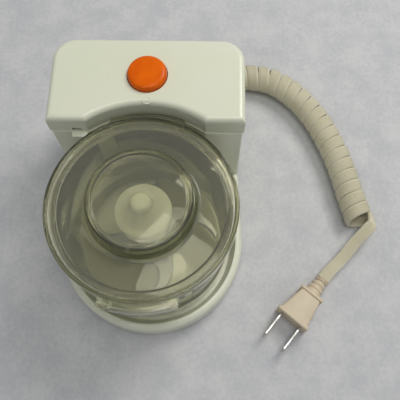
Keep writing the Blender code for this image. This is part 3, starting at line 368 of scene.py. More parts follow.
# %% Finishing a piece: bevels, hollows, cuts and joins
def bevel(piece, width, segments, test):
    """Rounds the edges that pass a test, by a width in millimetres."""
    take(piece)
    bpy.ops.object.mode_set(mode="EDIT")
    count = choose(piece, "EDGE", test)
    bpy.ops.mesh.bevel(offset=width * MM, segments=segments, affect="EDGES", clamp_overlap=True)
    bpy.ops.object.mode_set(mode="OBJECT")
    return count


def round_over(piece, radius, steps=8):
    """Rounds the top of a slab that stops a radius short of its height, with small insets."""
    take(piece)
    bpy.ops.object.mode_set(mode="EDIT")
    choose(piece, "FACE", lambda face: face.normal.z > 0.9)
    for step in range(steps):
        here = math.radians(90.0 * step / steps)
        there = math.radians(90.0 * (step + 1) / steps)
        inwards = radius * (math.cos(here) - math.cos(there)) * MM
        upwards = radius * (math.sin(there) - math.sin(here)) * MM
        bpy.ops.mesh.inset(thickness=inwards, depth=upwards, use_even_offset=True)
    bpy.ops.object.mode_set(mode="OBJECT")
    return smooth(piece)


def apply_modifier(piece, kind, **settings):
    take(piece)
    bpy.ops.object.modifier_add(type=kind)
    modifier = piece.modifiers[-1]
    for name, setting in settings.items():
        setattr(modifier, name, setting)
    bpy.ops.object.modifier_apply(modifier=modifier.name)


def carve(piece, *tools, operation="DIFFERENCE"):
    """Cuts tools from a piece, or joins them to it, and throws the tools away."""
    for tool in tools:
        apply_modifier(piece, "BOOLEAN", operation=operation, object=tool, solver="EXACT")
        bpy.data.objects.remove(tool, do_unlink=True)
    return piece


def smooth(piece, crease=30.0):
    take(piece)
    bpy.ops.object.shade_smooth_by_angle(angle=math.radians(crease))
    return piece


def settle(piece, matrix):
    """Puts a piece that was modelled at the origin in its place, in its mesh."""
    take(piece)
    piece.matrix_world = matrix
    bpy.ops.object.transform_apply(location=True, rotation=True, scale=True)
    return piece


def rod(name, radius, low, high, place, direction=(0.0, 0.0, 1.0), sides=32):
    """A round bar along a direction, from low to high in millimetres beyond its place."""
    start()
    turn = Vector(direction).to_track_quat("Z", "Y")
    middle = Vector(place) + turn @ Vector((0.0, 0.0, (low + high) / 2 * MM))
    bpy.ops.mesh.primitive_cylinder_add(
        vertices=sides, radius=radius * MM, depth=(high - low) * MM,
        location=middle, rotation=turn.to_euler(),
    )
    piece = bpy.context.object
    piece.name = name
    bpy.ops.object.transform_apply(location=True, rotation=True, scale=True)
    return piece


def block(name, size, place, turn=0.0):
    """A box of a size in millimetres about its middle, turned about the upright."""
    start()
    rotation = (0.0, 0.0, math.radians(turn))
    bpy.ops.mesh.primitive_cube_add(size=1.0, location=place, rotation=rotation)
    piece = bpy.context.object
    piece.name = name
    piece.scale = [side * MM for side in size]
    bpy.ops.object.transform_apply(location=True, rotation=True, scale=True)
    return piece


def dress(piece, finish, slot, body, *nodes):
    """Gives a piece its finish and body, and hides the plain parts that it stands for. The slot is not
    used.
    """
    piece.data.materials.clear()
    piece.data.materials.append(finish)
    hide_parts(*nodes)
    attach(piece, body)
    faces = len(piece.data.polygons)
    print(f"{piece.name}: {faces} faces, for {', '.join(nodes)}")
    return piece


# %% [markdown]
# ## The cord
# A curly cord is one flat cord with fine ribs, wound tight round a rod while it is warm. A round
# tube would lose both the ribs and the flat strands that lie edge to edge, so a flat ribbed
# section is swept along the whole route: a straight lead, nineteen turns about a curved middle
# line, and a straight tail. At each point the flat side faces away from the middle of the coil.

# %% Cord finish
def make_cord_finish():
    finish = Finish("cord_vinyl")
    cloud = finish.noise(60.0, 4.0)
    dirt = finish.noise(700.0, 3.0, 0.7).smooth(0.58, 0.75)
    clean = finish.mix(cloud.smooth(0.3, 0.7), (0.60, 0.56, 0.41), (0.66, 0.62, 0.47))
    colour = finish.mix(dirt * 0.35, clean, (0.40, 0.35, 0.24))
    gloss = 0.34 + 0.14 * cloud
    fine = finish.bump(finish.noise(2600.0, 2.0), 0.00003, 0.5)
    return finish.surface(Base_Color=colour, Roughness=gloss, Normal=fine)


CORD_VINYL = make_cord_finish()

# %% The cord's route
# Points in millimetres: from the right, behind the bowl's axis, and up.
LEAD = [
    (0.0, 106.1, 8.5), (0.3, 109.5, 8.5), (2.0, 114.0, 8.4), (6.0, 118.2, 8.3), (13.0, 120.5, 8.3),
    (22.0, 119.8, 8.3), (32.0, 116.2, 8.3), (38.0, 114.2, 8.3), (44.0, 113.8, 8.3),
]
COIL = [
    (44.5, 113.7, 8.3), (56.6, 113.2, 8.3), (65.9, 112.0, 8.3), (75.3, 108.7, 8.3), (88.9, 97.5, 8.3),
    (100.2, 81.9, 8.3), (109.0, 62.6, 8.3), (114.1, 46.7, 8.3), (117.8, 31.2, 8.3),
    (121.2, 18.5, 8.3), (122.3, 15.3, 8.3),
]
TAIL = [
    (127.6, 12.2, 12.6), (125.2, 9.4, 12.9), (121.6, 5.6, 11.6), (117.0, 0.9, 9.2),
    (110.0, -7.6, 6.4), (103.0, -14.5, 6.9), (98.5, -19.8, 7.2),
]
TURNS = 19
STEPS_PER_TURN = 30
COIL_RADIUS = 6.6
LAST_TURN = math.radians(-70.0)
UNTWIST_STEPS = 14
UP = Vector((0.0, 0.0, 1.0))


def smooth_route(points, steps):
    """A smooth curve through given points, with this many steps to each stretch."""
    knots = [Vector(point) for point in points]
    knots = [2 * knots[0] - knots[1]] + knots + [2 * knots[-1] - knots[-2]]
    route = []
    for index in range(1, len(knots) - 2):
        before, first, last, after = knots[index - 1 : index + 3]
        bend = 2 * before - 5 * first + 4 * last - after
        twist = 3 * first - before - 3 * last + after
        for step in range(steps):
            t = step / steps
            route.append(first + 0.5 * ((last - before) * t + bend * t * t + twist * t * t * t))
    route.append(knots[-2])
    return route


def evenly(route, count):
    """The same route in this many equal steps."""
    lengths = [0.0]
    for before, after in zip(route, route[1:]):
        lengths.append(lengths[-1] + (after - before).length)
    made = []
    index = 0
    for step in range(count + 1):
        goal = lengths[-1] * step / count
        while index < len(route) - 2 and lengths[index + 1] < goal:
            index += 1
        span = lengths[index + 1] - lengths[index]
        made.append(route[index].lerp(route[index + 1], (goal - lengths[index]) / span))
    return made


def cord_route():
    """The cord's middle line and, at each point, the way that its flat side faces."""
    line = smooth_route([at(*point) for point in LEAD], 4)
    facing = [UP] * len(line)
    full = math.tau * TURNS + LAST_TURN
    count = TURNS * STEPS_PER_TURN
    middle = evenly(smooth_route([at(*point) for point in COIL], 12), count)
    for step in range(1, count + 1):
        along = middle[min(step + 1, count)] - middle[step - 1]
        aside = along.cross(UP).normalized()
        angle = full * step / count
        grown = min(1.0, angle / math.pi)
        radius = COIL_RADIUS * MM * grown * grown * (3 - 2 * grown)
        outwards = UP * math.cos(angle) + aside * math.sin(angle)
        line.append(middle[step] + outwards * radius)
        facing.append(outwards)
    tail = smooth_route([line[-1]] + [at(*point) for point in TAIL], 6)[1:]
    first = facing[-1]
    for index, point in enumerate(tail):
        part = min(1.0, index / UNTWIST_STEPS)
        line.append(point)
        facing.append(first.lerp(UP, part * part * (3 - 2 * part)).normalized())
    return line, facing


# %% Sweeping the ribbed section
CORD_WIDTH = 7.3
CORD_THICKNESS = 3.2
RIBS = 9
RIB_DEPTH = 0.24
ROUND_SIDE = (0.9, 0.45, 0.0, -0.45, -0.9)


def ribbed_section():
    """A flat section with rounded sides and fine ribs on both faces, in millimetres."""
    half = CORD_THICKNESS / 2
    flat = CORD_WIDTH / 2 - half * 0.8
    face = []
    for index in range(RIBS * 4 + 1):
        across = -flat + 2 * flat * index / (RIBS * 4)
        dip = RIB_DEPTH * (1 - abs(math.sin(math.pi * index / 4)))
        face.append((across, half - dip))
    side = [(flat + 0.8 * half * math.cos(a), half * math.sin(a)) for a in ROUND_SIDE]
    right = face + side
    return right + [(-x, -y) for x, y in right]


def sweep(name, line, facing, section):
    """A mesh of this section along a line of points."""
    verts = []
    count = len(section)
    for index, point in enumerate(line):
        ahead = (line[min(index + 1, len(line) - 1)] - line[max(index - 1, 0)]).normalized()
        across = ahead.cross(facing[index]).normalized()
        up = across.cross(ahead)
        verts += [point + across * (u * MM) + up * (v * MM) for u, v in section]
    faces = [tuple(reversed(range(count))), tuple(range(len(verts) - count, len(verts)))]
    for ring in range(len(line) - 1):
        for side in range(count):
            a = ring * count + side
            b = ring * count + (side + 1) % count
            faces.append((a, b, b + count, a + count))
    mesh = bpy.data.meshes.new(name)
    mesh.from_pydata(verts, [], faces)
    piece = bpy.data.objects.new(name, mesh)
    bpy.context.scene.collection.objects.link(piece)
    return smooth(piece, 50.0)


cord_line, cord_facing = cord_route()
cord = sweep("curly_cord", cord_line, cord_facing, ribbed_section())
cord_length = sum((b - a).length for a, b in zip(cord_line, cord_line[1:]))
dress(cord, CORD_VINYL, "cord_vinyl", "housing", "cord_lead", "cord_coil", "cord_tail")
print(f"the cord is {cord_length:.3f} m long")

# %% [markdown]
# ## The cord's sleeve
# Where the cord goes through the rear wall, a soft sleeve of the same vinyl stops it from kinking.
# A spun section with a few ring grooves is modelled upright, then laid down to point backwards.

# %% Sleeve
def make_sleeve():
    section = [(0.0, 15.8), (3.0, 15.8), (3.5, 15.2)]
    for groove in range(4):
        top = 13.8 - groove * 3.0
        swell = 3.62 + groove * 0.14
        section += [(swell, top), (swell - 0.5, top - 0.3)]
        section += [(swell - 0.5, top - 1.2), (swell + 0.1, top - 1.5)]
    section += [(4.4, 1.3), (4.4, 0.4), (3.1, 0.3), (3.1, -3.1)]
    section += [(4.2, -3.1), (4.2, -7.0), (0.0, -7.0)]
    sleeve = spun("cord_sleeve", soften(section, 0.25), ORIGIN, 48)
    back = Matrix.Translation(at(0.0, 90.0, 8.5)) @ Matrix.Rotation(math.radians(-90.0), 4, "X")
    return settle(sleeve, back)


sleeve = dress(make_sleeve(), CORD_VINYL, "cord_vinyl", "housing", "strain_relief")

# %% [markdown]
# ## The plug
# The plug is moulded over the end of the cord: a body that widens towards its face, a thin flange
# at each end of it, and a ribbed sleeve. It lies on its narrow side, so its blades stand on edge.

# %% Plug body
PLUG_ANGLE = math.degrees(math.atan2(-15.0, -12.3))
PLUG_TURN = Matrix.Rotation(math.radians(PLUG_ANGLE), 4, "Z")
PLUG_PLACE = Matrix.Translation(at(91.4, -28.4, 7.3)) @ PLUG_TURN


def make_plug_finish():
    finish = Finish("plug_vinyl")
    cloud = finish.noise(90.0, 3.0)
    colour = finish.mix(cloud.smooth(0.3, 0.7), (0.60, 0.50, 0.36), (0.66, 0.56, 0.41))
    spots = finish.noise(900.0, 2.0, 0.6).smooth(0.66, 0.74)
    aged = finish.mix(spots * 0.5, colour, (0.33, 0.26, 0.17))
    fine = finish.bump(finish.noise(2200.0, 2.0), 0.00004, 0.5)
    return finish.surface(Base_Color=aged, Roughness=0.42 + 0.1 * cloud, Normal=fine)


def tapered(name, first, last, back_width, front_width, height):
    """A block from one place to another along X, wider at its front, with rounded edges."""
    piece = block(name, (last - first, 1.0, height), ((first + last) / 2 * MM, 0.0, 0.0))
    bpy.ops.object.mode_set(mode="EDIT")
    for end, width in ((first, back_width), (last, front_width)):
        choose(piece, "VERT", lambda vert, x=end * MM: abs(vert.co.x - x) < 0.00001)
        bpy.ops.transform.resize(value=(1.0, width, 1.0))
    bpy.ops.object.mode_set(mode="OBJECT")
    bevel(piece, min(0.9, (last - first) * 0.35), 3, lambda edge: True)
    return piece


def make_plug():
    body = tapered("plug", 1.2, 18.6, 12.2, 18.2, 12.6)
    flange = tapered("flange", 0.0, 1.9, 14.5, 14.7, 14.0)
    face = tapered("face", 17.2, 19.4, 19.9, 20.4, 14.0)
    section = [(0.0, 1.0), (5.4, 1.0)]
    for rib in range(3):
        back = -0.4 - rib * 3.0
        swell = 5.3 - rib * 0.55
        section += [(swell, back), (swell - 0.2, back - 0.9)]
        section += [(swell - 1.0, back - 1.2), (swell - 1.1, back - 2.4)]
    section += [(4.0, -9.4), (3.9, -10.3), (0.0, -10.5)]
    ribs = spun("ribs", soften(section, 0.3), ORIGIN, 48)
    settle(ribs, Matrix.Rotation(math.radians(90.0), 4, "Y"))
    carve(body, flange, face, ribs, operation="UNION")
    return smooth(settle(body, PLUG_PLACE), 35.0)


plug = dress(make_plug(), make_plug_finish(), "cord_vinyl", "housing", "plug_body")

# %% Plug blades
def make_steel(name, colour, rough, along):
    """Ground steel: fine lines along one direction, and faint clouds of wear."""
    finish = Finish(name)
    stretch = {"Vector": finish.place, "Scale": along}
    stretched = finish.node("ShaderNodeMapping", {"vector_type": "POINT"}, stretch)
    lines = finish.noise(900.0, 3.0, 0.6, stretched)
    cloud = finish.noise(60.0, 4.0, 0.6)
    darker = tuple(c * 0.82 for c in colour)
    shade = finish.mix((0.7 * lines + 0.3 * cloud).smooth(0.3, 0.7), darker, colour)
    gloss = rough + 0.18 * cloud
    groove = finish.bump(lines, 0.00002, 0.6)
    return finish.surface(Base_Color=shade, Roughness=gloss, Metallic=1.0, Normal=groove)


PLATED = make_steel("plated_brass", (0.66, 0.64, 0.60), 0.18, (1.0, 1.0, 0.06))


PRONG_OFF = 6.35


def make_prong(name, side):
    off = side * PRONG_OFF * MM
    prong = block(name, (16.0, 1.5, 6.35), (27.7 * MM, off, 0.0))

    def at_tip(edge):
        level = abs(edge.verts[0].co.z - edge.verts[1].co.z) < 0.1 * MM
        return level and all(vert.co.x > 35.6 * MM for vert in edge.verts)

    bevel(prong, 1.6, 4, at_tip)
    bevel(prong, 0.22, 2, lambda edge: edge.calc_face_angle(0.0) > 0.9)
    hole = rod("hole", 1.6, -3.0, 3.0, (32.5 * MM, off, 0.0), (0.0, 1.0, 0.0))
    carve(prong, hole)
    return smooth(settle(prong, PLUG_PLACE), 35.0)


prong_left = dress(make_prong("prong_left", 1), PLATED, "steel", "housing", "plug_blade_left")
prong_right = dress(make_prong("prong_right", -1), PLATED, "steel", "housing", "plug_blade_right")

# %% [markdown]
# ## Cream plastic
# The housing is moulded in a glossy cream plastic that has yellowed a little. A flat colour looks
# like a drawing, so three scales of noise share the work: soft clouds of yellowing, a faint
# orange-peel in the surface, and rare dark specks. The gloss wanders with the clouds.

# %% Cream finish
def make_cream():
    finish = Finish("cream_plastic")
    cloud = finish.noise(14.0, 4.0, 0.55)
    aged = finish.mix(cloud.smooth(0.35, 0.68), (0.715, 0.735, 0.575), (0.755, 0.765, 0.625))
    specks = finish.noise(430.0, 1.0, 0.4).smooth(0.80, 0.84)
    colour = finish.mix(specks * 0.30, aged, (0.40, 0.36, 0.24))
    peel = finish.noise(340.0, 2.0, 0.5)
    scratch = finish.noise(1800.0, 2.0, 0.6)
    skin = finish.bump(0.75 * peel + 0.25 * scratch, 0.00006, 0.35)
    gloss = 0.22 + 0.10 * cloud + 0.05 * scratch
    return finish.surface(
        Base_Color=colour, Roughness=gloss, Normal=skin, Coat_Weight=0.15, Coat_Roughness=0.12
    )


CREAM = make_cream()

# %% [markdown]
# ## The housing
# Tower and base are one moulding. In plan the tower has straight sides, two round rear corners
# and a front hollowed about the bowl's axis; the base is a half round that runs back into it.
# Both are slabs of such outlines, joined, then hollowed from below and cut by the bowl's recess.

# %% Plans of the tower and the base
def tower_plan(half_width, front, rear, corner, notch, front_corner=0.0):
    """The tower's outline from its right front corner round the back, in metres."""
    reach = math.degrees(math.asin(front / notch))
    points = [(half_width * MM, BOWL_Y + (front + front_corner) * MM)]
    for side, first in ((1, 0.0), (-1, 90.0)):
        for step in range(13):
            angle = math.radians(first + 90.0 * step / 12)
            x = side * (half_width - corner) + corner * math.cos(angle)
            points.append((x * MM, BOWL_Y + (rear - corner + corner * math.sin(angle)) * MM))
    points.append((-half_width * MM, BOWL_Y + (front + front_corner) * MM))
    turned = []
    if front_corner:
        near = front_corner * 0.3
        turned = [(half_width - near, front + near), (half_width - front_corner, front)]
    points += [(-x * MM, BOWL_Y + depth * MM) for x, depth in turned]
    points += arc(notch, 180.0 - reach, reach, 56)
    points += [(x * MM, BOWL_Y + depth * MM) for x, depth in reversed(turned)]
    return points


def base_plan(inset, neck):
    """The base's outline: a half round front whose sides run back, closer in by the neck."""
    side = 49.7 - inset
    points = arc(51.5 - inset, 180.0, 360.0, 72)
    for x, depth in ((side, 41.0), (side - neck, 46.0), (side - neck, 62.0)):
        points.append((x * MM, BOWL_Y + depth * MM))
    for x, depth in ((side - neck, 62.0), (side - neck, 46.0), (side, 41.0)):
        points.append((-x * MM, BOWL_Y + depth * MM))
    return points


# %% Housing
def make_housing():
    housing = slab("housing", tower_plan(49.0, 41.7, 89.7, 12.0, 51.25, 1.2), 2.0, 69.0)
    base = round_over(slab("base", base_plan(0.0, 4.8), 2.0, 13.6), 3.0)
    carve(housing, base, operation="UNION")
    tower_room = slab("tower_room", tower_plan(46.5, 44.5, 87.2, 9.5, 54.0), 1.0, 70.0)
    base_room = slab("base_room", base_plan(3.0, 0.8), 1.0, 8.5)
    dish = [
        (0.0, 18.0), (47.8, 18.0), (47.8, 16.6), (47.2, 15.6), (45.6, 12.6), (45.3, 12.0),
        (45.3, 10.5), (0.0, 10.5),
    ]
    carve(housing, tower_room, base_room, spun("recess", dish))
    tube = soften([(5.3, 8.4), (7.5, 8.4), (7.5, 22.0), (5.3, 22.0)], 0.4, True)
    boss = spun("boss", tube, steps=64)
    carve(housing, rod("bore", 6.3, 1.0, 23.0, BOWL, sides=48))
    carve(housing, boss, operation="UNION")
    for place in (polar(39.0, -125.0, 0.0), polar(39.0, -55.0, 0.0)):
        carve(housing, rod("boss", 3.5, 3.9, 9.5, place), operation="UNION")
        carve(housing, rod("screw_hole", 1.5, 1.0, 8.5, place))
    for side in (-1, 1):
        place = at(side * 43.5, 70.0, 0.0)
        carve(housing, rod("boss", 3.5, 3.9, 12.7, place), operation="UNION")
        carve(housing, rod("screw_hole", 1.5, 1.0, 10.7, place))
    pin_way = Vector((math.cos(math.radians(121.5)), math.sin(math.radians(121.5)), 0.0))
    carve(housing, rod("pin_hole", 1.7, -5.0, 5.0, polar(51.5, 121.5, 66.9), pin_way))
    carve(housing, rod("sleeve_hole", 3.5, -5.0, 5.0, at(0.0, 90.0, 8.5), (0.0, 1.0, 0.0)))
    ledge = block("ledge", (8.0, 4.4, 1.6), at(-34.5, 41.2, 67.9))
    bevel(ledge, 0.35, 2, lambda edge: True)
    carve(housing, ledge, operation="UNION")
    return smooth(housing)


housing = dress(make_housing(), CREAM, "cream_plastic", "housing", "housing_shell")

# %% [markdown]
# ## The top cover
# The cover closes the tower. Its plan is the tower's, a little wider, and its top edge is well
# rounded. It is a slab with its bottom taken off, thickened inwards, then cut for the button and
# for the slit at the left of its front. A small raised ring marks the place before the button.

# %% Cover
COVER_HALF = 49.7
COVER_FRONT = 42.2
COVER_NOTCH = 51.7
COVER_ROUND = 3.0


def make_cover():
    plan = tower_plan(COVER_HALF, COVER_FRONT, 90.0, 12.3, COVER_NOTCH)
    cover = round_over(slab("cover", plan, 69.3, 78.5), COVER_ROUND)

    def on_ridge(vert):
        inset = (vert.co.y - BOWL_Y) / MM - COVER_FRONT
        if not -0.01 < inset < COVER_ROUND + 0.02:
            return False
        across = math.sqrt((COVER_NOTCH + inset) ** 2 - (COVER_FRONT + inset) ** 2)
        ridges = (COVER_HALF - inset, across)
        return min(abs(abs(vert.co.x) / MM - ridge) for ridge in ridges) < 0.1

    def is_ridge(edge):
        first, last = edge.verts
        return abs(first.co.z - last.co.z) > 0.01 * MM and on_ridge(first) and on_ridge(last)

    print(bevel(cover, 1.3, 4, is_ridge), "corner edges rounded")
    room = slab("room", tower_plan(47.5, 44.4, 87.8, 10.1, 53.9), 68.0, 79.3)
    carve(cover, room)
    carve(cover, rod("button_hole", 10.5, 70.0, 90.0, BUTTON, sides=96))
    carve(cover, block("slit", (5.0, 6.0, 6.0), at(-35.5, 43.0, 69.2)))
    ring = soften([(1.75, 81.4), (2.25, 81.4), (2.25, 81.62), (1.75, 81.62)], 0.12, True)
    carve(cover, spun("mark", ring, at(0.6, 53.3, 0.0), 40), operation="UNION")
    return smooth(cover)


cover = dress(make_cover(), CREAM, "cream_plastic", "housing", "top_cover")

# %% [markdown]
# ## The button
# A shallow dome in bright orange. It is one spun section, hollow from below, with a flange that
# keeps it under the cover and a stem that presses the switch.

# %% Orange finish
def make_orange():
    finish = Finish("orange_plastic")
    cloud = finish.noise(120.0, 3.0)
    colour = finish.mix(cloud.smooth(0.3, 0.7), (0.70, 0.105, 0.0), (0.79, 0.135, 0.0))
    skin = finish.bump(finish.noise(600.0, 2.0), 0.00004, 0.3)
    gloss = 0.20 + 0.08 * cloud
    return finish.surface(Base_Color=colour, Roughness=gloss, Normal=skin, Specular_IOR_Level=0.18)


def make_button():
    section = [
        (0.0, 85.0), (4.0, 84.98), (7.4, 84.85), (8.6, 84.65), (9.35, 84.25), (9.85, 83.55),
        (10.05, 82.7), (10.1, 79.1), (11.6, 79.0), (11.6, 77.5), (8.0, 77.5), (7.9, 82.2),
        (3.5, 82.4), (3.5, 66.9), (0.0, 66.9),
    ]
    return spun("orange_button", soften(section, 0.3), BUTTON, 96)


button = dress(make_button(), make_orange(), "orange_plastic", "button", "button")

# %% [markdown]
# ## Smoke plastic
# The bowl and its lid are clear, with a grey-green smoke. A see-through grey would look like a
# film. Real clear plastic bends light and swallows more of it the further light goes, so this is
# a shader that refracts, filled with a volume that absorbs. The tall thin walls of the grip and
# the lid's rim look darkest, and a painted shade there, a darker colour, carries that further.

# %% Smoke finish
def make_smoke():
    finish = Finish("smoke_plastic")
    haze = finish.noise(160.0, 4.0, 0.65).smooth(0.45, 0.75)
    vector_math = "ShaderNodeVectorMath"
    where = finish.node(vector_math, {"operation": "SUBTRACT"}, {0: finish.place, 1: BOWL})
    flat = finish.node(vector_math, {"operation": "MULTIPLY"}, {0: where, 1: (1.0, 1.0, 0.0)})
    reach = finish.node(vector_math, {"operation": "LENGTH"}, {0: flat}, output="Value")
    height = finish.node("ShaderNodeSeparateXYZ", None, {0: finish.place}, output="Z")
    # Painted shade: a dark olive colour on the grip's upper wall and on the rim bead, to deepen the
    # dark rings that refraction gives there.
    in_wall = reach.smooth(24.2 * MM, 24.6 * MM) * reach.smooth(27.2 * MM, 26.8 * MM)
    grip = in_wall * height.smooth(75.6 * MM, 76.4 * MM)
    rim = reach.smooth(44.9 * MM, 45.3 * MM) * height.smooth(73.6 * MM, 74.4 * MM)
    smoke_colour_with_painted_shade = finish.mix(0.85 * grip + 0.75 * rim, (0.98, 0.975, 0.87), (0.16, 0.18, 0.08))
    skin = finish.bump(finish.noise(90.0, 2.0), 0.00003, 0.25)
    volume = finish.node(
        "ShaderNodeVolumeAbsorption", None, {"Color": (0.66, 0.64, 0.16, 1.0), "Density": 62.0}
    )
    return finish.surface(
        volume=volume, Base_Color=smoke_colour_with_painted_shade, Roughness=0.012 + 0.03 * haze, IOR=1.47,
        Transmission_Weight=0.945, Normal=skin,
    )


SMOKE = make_smoke()

# %% [markdown]
# ## The bowl
# The bowl is a spun wall, two millimetres thick, with a hollow post in its middle for the
# spindle, and two small lugs under its rim that hold the lid's ears.

# %% Bowl
def make_bowl():
    section = [
        (42.3, 70.5), (44.3, 70.5), (43.4, 14.0), (42.8, 11.8), (41.5, 10.8), (8.2, 10.8), (8.2, 30.0),
        (10.2, 30.0), (10.2, 12.8), (39.9, 12.8), (41.4, 14.4),
    ]
    bowl = spun("clear_bowl", soften(section, 0.5, True), steps=160, crease=40.0)
    for angle in (119.0, 299.0):
        lug = block("lug", (4.3, 8.0, 1.5), polar(45.45, angle, 68.45), angle)
        bevel(lug, 0.3, 2, lambda edge: True)
        carve(bowl, lug, operation="UNION")
    return smooth(bowl, 40.0)


bowl = dress(make_bowl(), SMOKE, "smoke_plastic", "bowl", "bowl")

# %% [markdown]
# ## The lid
# The lid is a plate with a beaded rim and a tall hollow grip. Low on the grip runs a band of fine
# ribs for the fingers: the spin has an even number of sides, and every second vertex of the band
# is drawn in. Two hooked ears hang from the rim, front and back.

# %% Lid
LID_SIDES = 336
GROOVE = 0.968
EAR_REACH = 50.8
EAR_HALF_WIDTH = 19.0


def knurl(piece):
    """Draws in every second vertical line of the band on the grip."""
    step = math.tau / LID_SIDES

    def in_groove(vert):
        reach = Vector((vert.co.x, vert.co.y - BOWL_Y))
        in_band = 77.2 * MM < vert.co.z < 80.4 * MM and 25.3 * MM < reach.length < 27.0 * MM
        if not in_band:
            return False
        return round(math.atan2(reach.y, reach.x) / step) % 2 == 0

    choose(piece, "VERT", in_groove)
    bpy.ops.transform.resize(value=(GROOVE, GROOVE, 1.0), center_override=BOWL)


def make_lid():
    section = [
        (0.0, 84.9), (22.0, 84.9), (22.6, 85.7), (24.6, 85.7), (25.2, 85.0), (25.7, 81.4), (26.2, 80.6),
        (26.25, 80.2), (26.4, 77.6), (26.0, 77.0), (26.3, 76.5), (28.4, 75.4), (44.6, 75.2),
        (45.2, 76.5), (46.4, 76.5), (46.8, 76.0), (46.8, 69.5), (45.0, 69.5), (45.0, 72.3),
        (41.5, 72.3), (40.7, 73.0), (25.0, 73.0), (23.3, 82.7), (0.0, 82.7),
    ]
    return spun("clear_lid", soften(section, 0.35), steps=LID_SIDES, crease=40.0, shape=knurl)


def make_ear(name, middle):
    """A hooked ear: an arc of channel section that hangs from the rim, closed at its far end."""
    section = [
        (45.5, 73.0), (50.4, 73.0), (EAR_REACH, 72.6), (EAR_REACH, 65.8), (45.2, 65.8), (45.2, 67.4),
        (49.2, 67.4), (49.2, 71.4), (45.5, 71.4),
    ]
    half = math.degrees(math.asin(EAR_HALF_WIDTH / EAR_REACH))
    first = math.radians(middle + half)
    side = Vector((math.cos(first), math.sin(first), 0.0)) * MM
    line = [BOWL + side * radius + UP * height * MM for radius, height in soften(section, 0.3, True)]
    ear = trace(name, line)
    bpy.ops.mesh.select_all(action="SELECT")
    bpy.ops.mesh.remove_doubles(threshold=0.00001)
    bpy.ops.mesh.edge_face_add()
    bpy.ops.mesh.spin(steps=28, angle=math.radians(2 * half), center=BOWL, axis=(0.0, 0.0, 1.0))
    return close_up(ear, 40.0)


def add_eyelet(ear, reach, angle):
    """An upright eyelet at the ear's round end."""
    section = soften([(1.6, 73.3), (3.1, 73.3), (3.1, 70.4), (1.6, 70.4)], 0.35, True)
    ring = spun("eyelet", section, polar(reach, angle, 0.0), 40)
    return carve(ear, ring, operation="UNION")


def add_frame(ear, reach, angle):
    """A small square frame at the ear's other end."""
    frame_block = block("frame", (3.4, 4.2, 1.8), polar(reach, angle, 72.4), angle)
    bevel(frame_block, 0.3, 2, lambda edge: True)
    window = block("window", (1.6, 2.2, 6.0), polar(reach + 0.3, angle, 72.4), angle)
    carve(frame_block, window)
    return carve(ear, frame_block, operation="UNION")


lid = make_lid()
# Each ear's name, its middle angle, and the reach and angles of its eyelet and its frame. The
# rear ones reach less far, so that they pass the tower's cover when the lid turns.
EARS = (
    ("ear_front", -90.0, 48.6, -107.2, -69.5),
    ("ear_rear", 90.0, 47.6, 69.5, 110.5),
)
for name, middle, reach, eyelet_angle, frame_angle in EARS:
    ear = make_ear(name, middle)
    add_eyelet(ear, reach, eyelet_angle)
    add_frame(ear, reach, frame_angle)
    carve(lid, ear, operation="UNION")
smooth(lid, 40.0)
dress(lid, SMOKE, "smoke_plastic", "lid", "lid")

# %% [markdown]
# ## The blade hub
# The hub is a milky nylon moulding: light goes a little way into it, which softens every edge. It
# is one spun section, from the glossy knob down over the wide cap to the stem.

# %% Hub
def make_milk():
    finish = Finish("milky_plastic")
    cloud = finish.noise(70.0, 3.0)
    colour = finish.mix(cloud.smooth(0.3, 0.7), (0.86, 0.86, 0.70), (0.90, 0.90, 0.76))
    skin = finish.bump(finish.noise(380.0, 2.0), 0.00003, 0.3)
    return finish.surface(
        Base_Color=colour, Roughness=0.20 + 0.12 * cloud, Normal=skin,
        Subsurface_Weight=0.5, Subsurface_Radius=(1.0, 0.9, 0.7), Subsurface_Scale=0.002,
    )


def make_hub():
    section = [(0.0, 81.2), (2.6, 81.15), (4.2, 80.7), (5.1, 79.6), (5.4, 78.2)]
    for step in range(1, 12):
        fall = math.radians(90.0 * step / 12)
        radius = 5.4 + 8.8 * (1 - math.cos(fall)) ** 0.9
        section.append((radius, 78.0 - 11.6 * math.sin(fall) ** 0.8))
    section += [
        (14.6, 66.0), (15.2, 65.4), (15.2, 54.0), (12.2, 52.0), (12.2, 14.4), (10.6, 14.4),
        (10.6, 30.3), (3.3, 30.3), (3.3, 34.3), (0.0, 34.3),
    ]
    return spun("milky_hub", soften(section, 0.4), steps=112)


hub = dress(make_hub(), make_milk(), "milky_plastic", "blades", "blade_hub")

# %% [markdown]
# ## The knives
# Each knife is stamped from sheet steel: two swept arms on a ring. The leading side of each arm is
# ground to an edge, so the vertices of its upper face there are drawn back from the edge.

# %% Knives
BLADE_STEEL = make_steel("knife_steel", (0.42, 0.42, 0.39), 0.34, (1.0, 1.0, 0.3))


ROOT_RADIUS = 15.3
ARM_LENGTH = 23.2
ROOT_HALF_WIDTH = 5.8
NARROWING = 3.2
SWEEP = 34.0


def blade_plan(first_angle):
    """Two swept arms on a ring, half a turn apart, as (x, y) points in metres."""
    points = []
    for arm in range(2):
        middle = first_angle + 180.0 * arm
        edges = {-1: [], 1: []}
        for step in range(17):
            part = step / 16
            radius = ROOT_RADIUS + ARM_LENGTH * part
            half = ROOT_HALF_WIDTH - NARROWING * part
            for side in (-1, 1):
                angle = middle - SWEEP * part**1.6 + side * math.degrees(half / radius)
                edges[side] += arc(radius, angle, angle, 1)[:1]
        points += edges[-1] + list(reversed(edges[1]))
        root = math.degrees(ROOT_HALF_WIDTH / ROOT_RADIUS)
        points += arc(ROOT_RADIUS, middle + root, middle + 180.0 - root, 16)[1:-1]
    return points


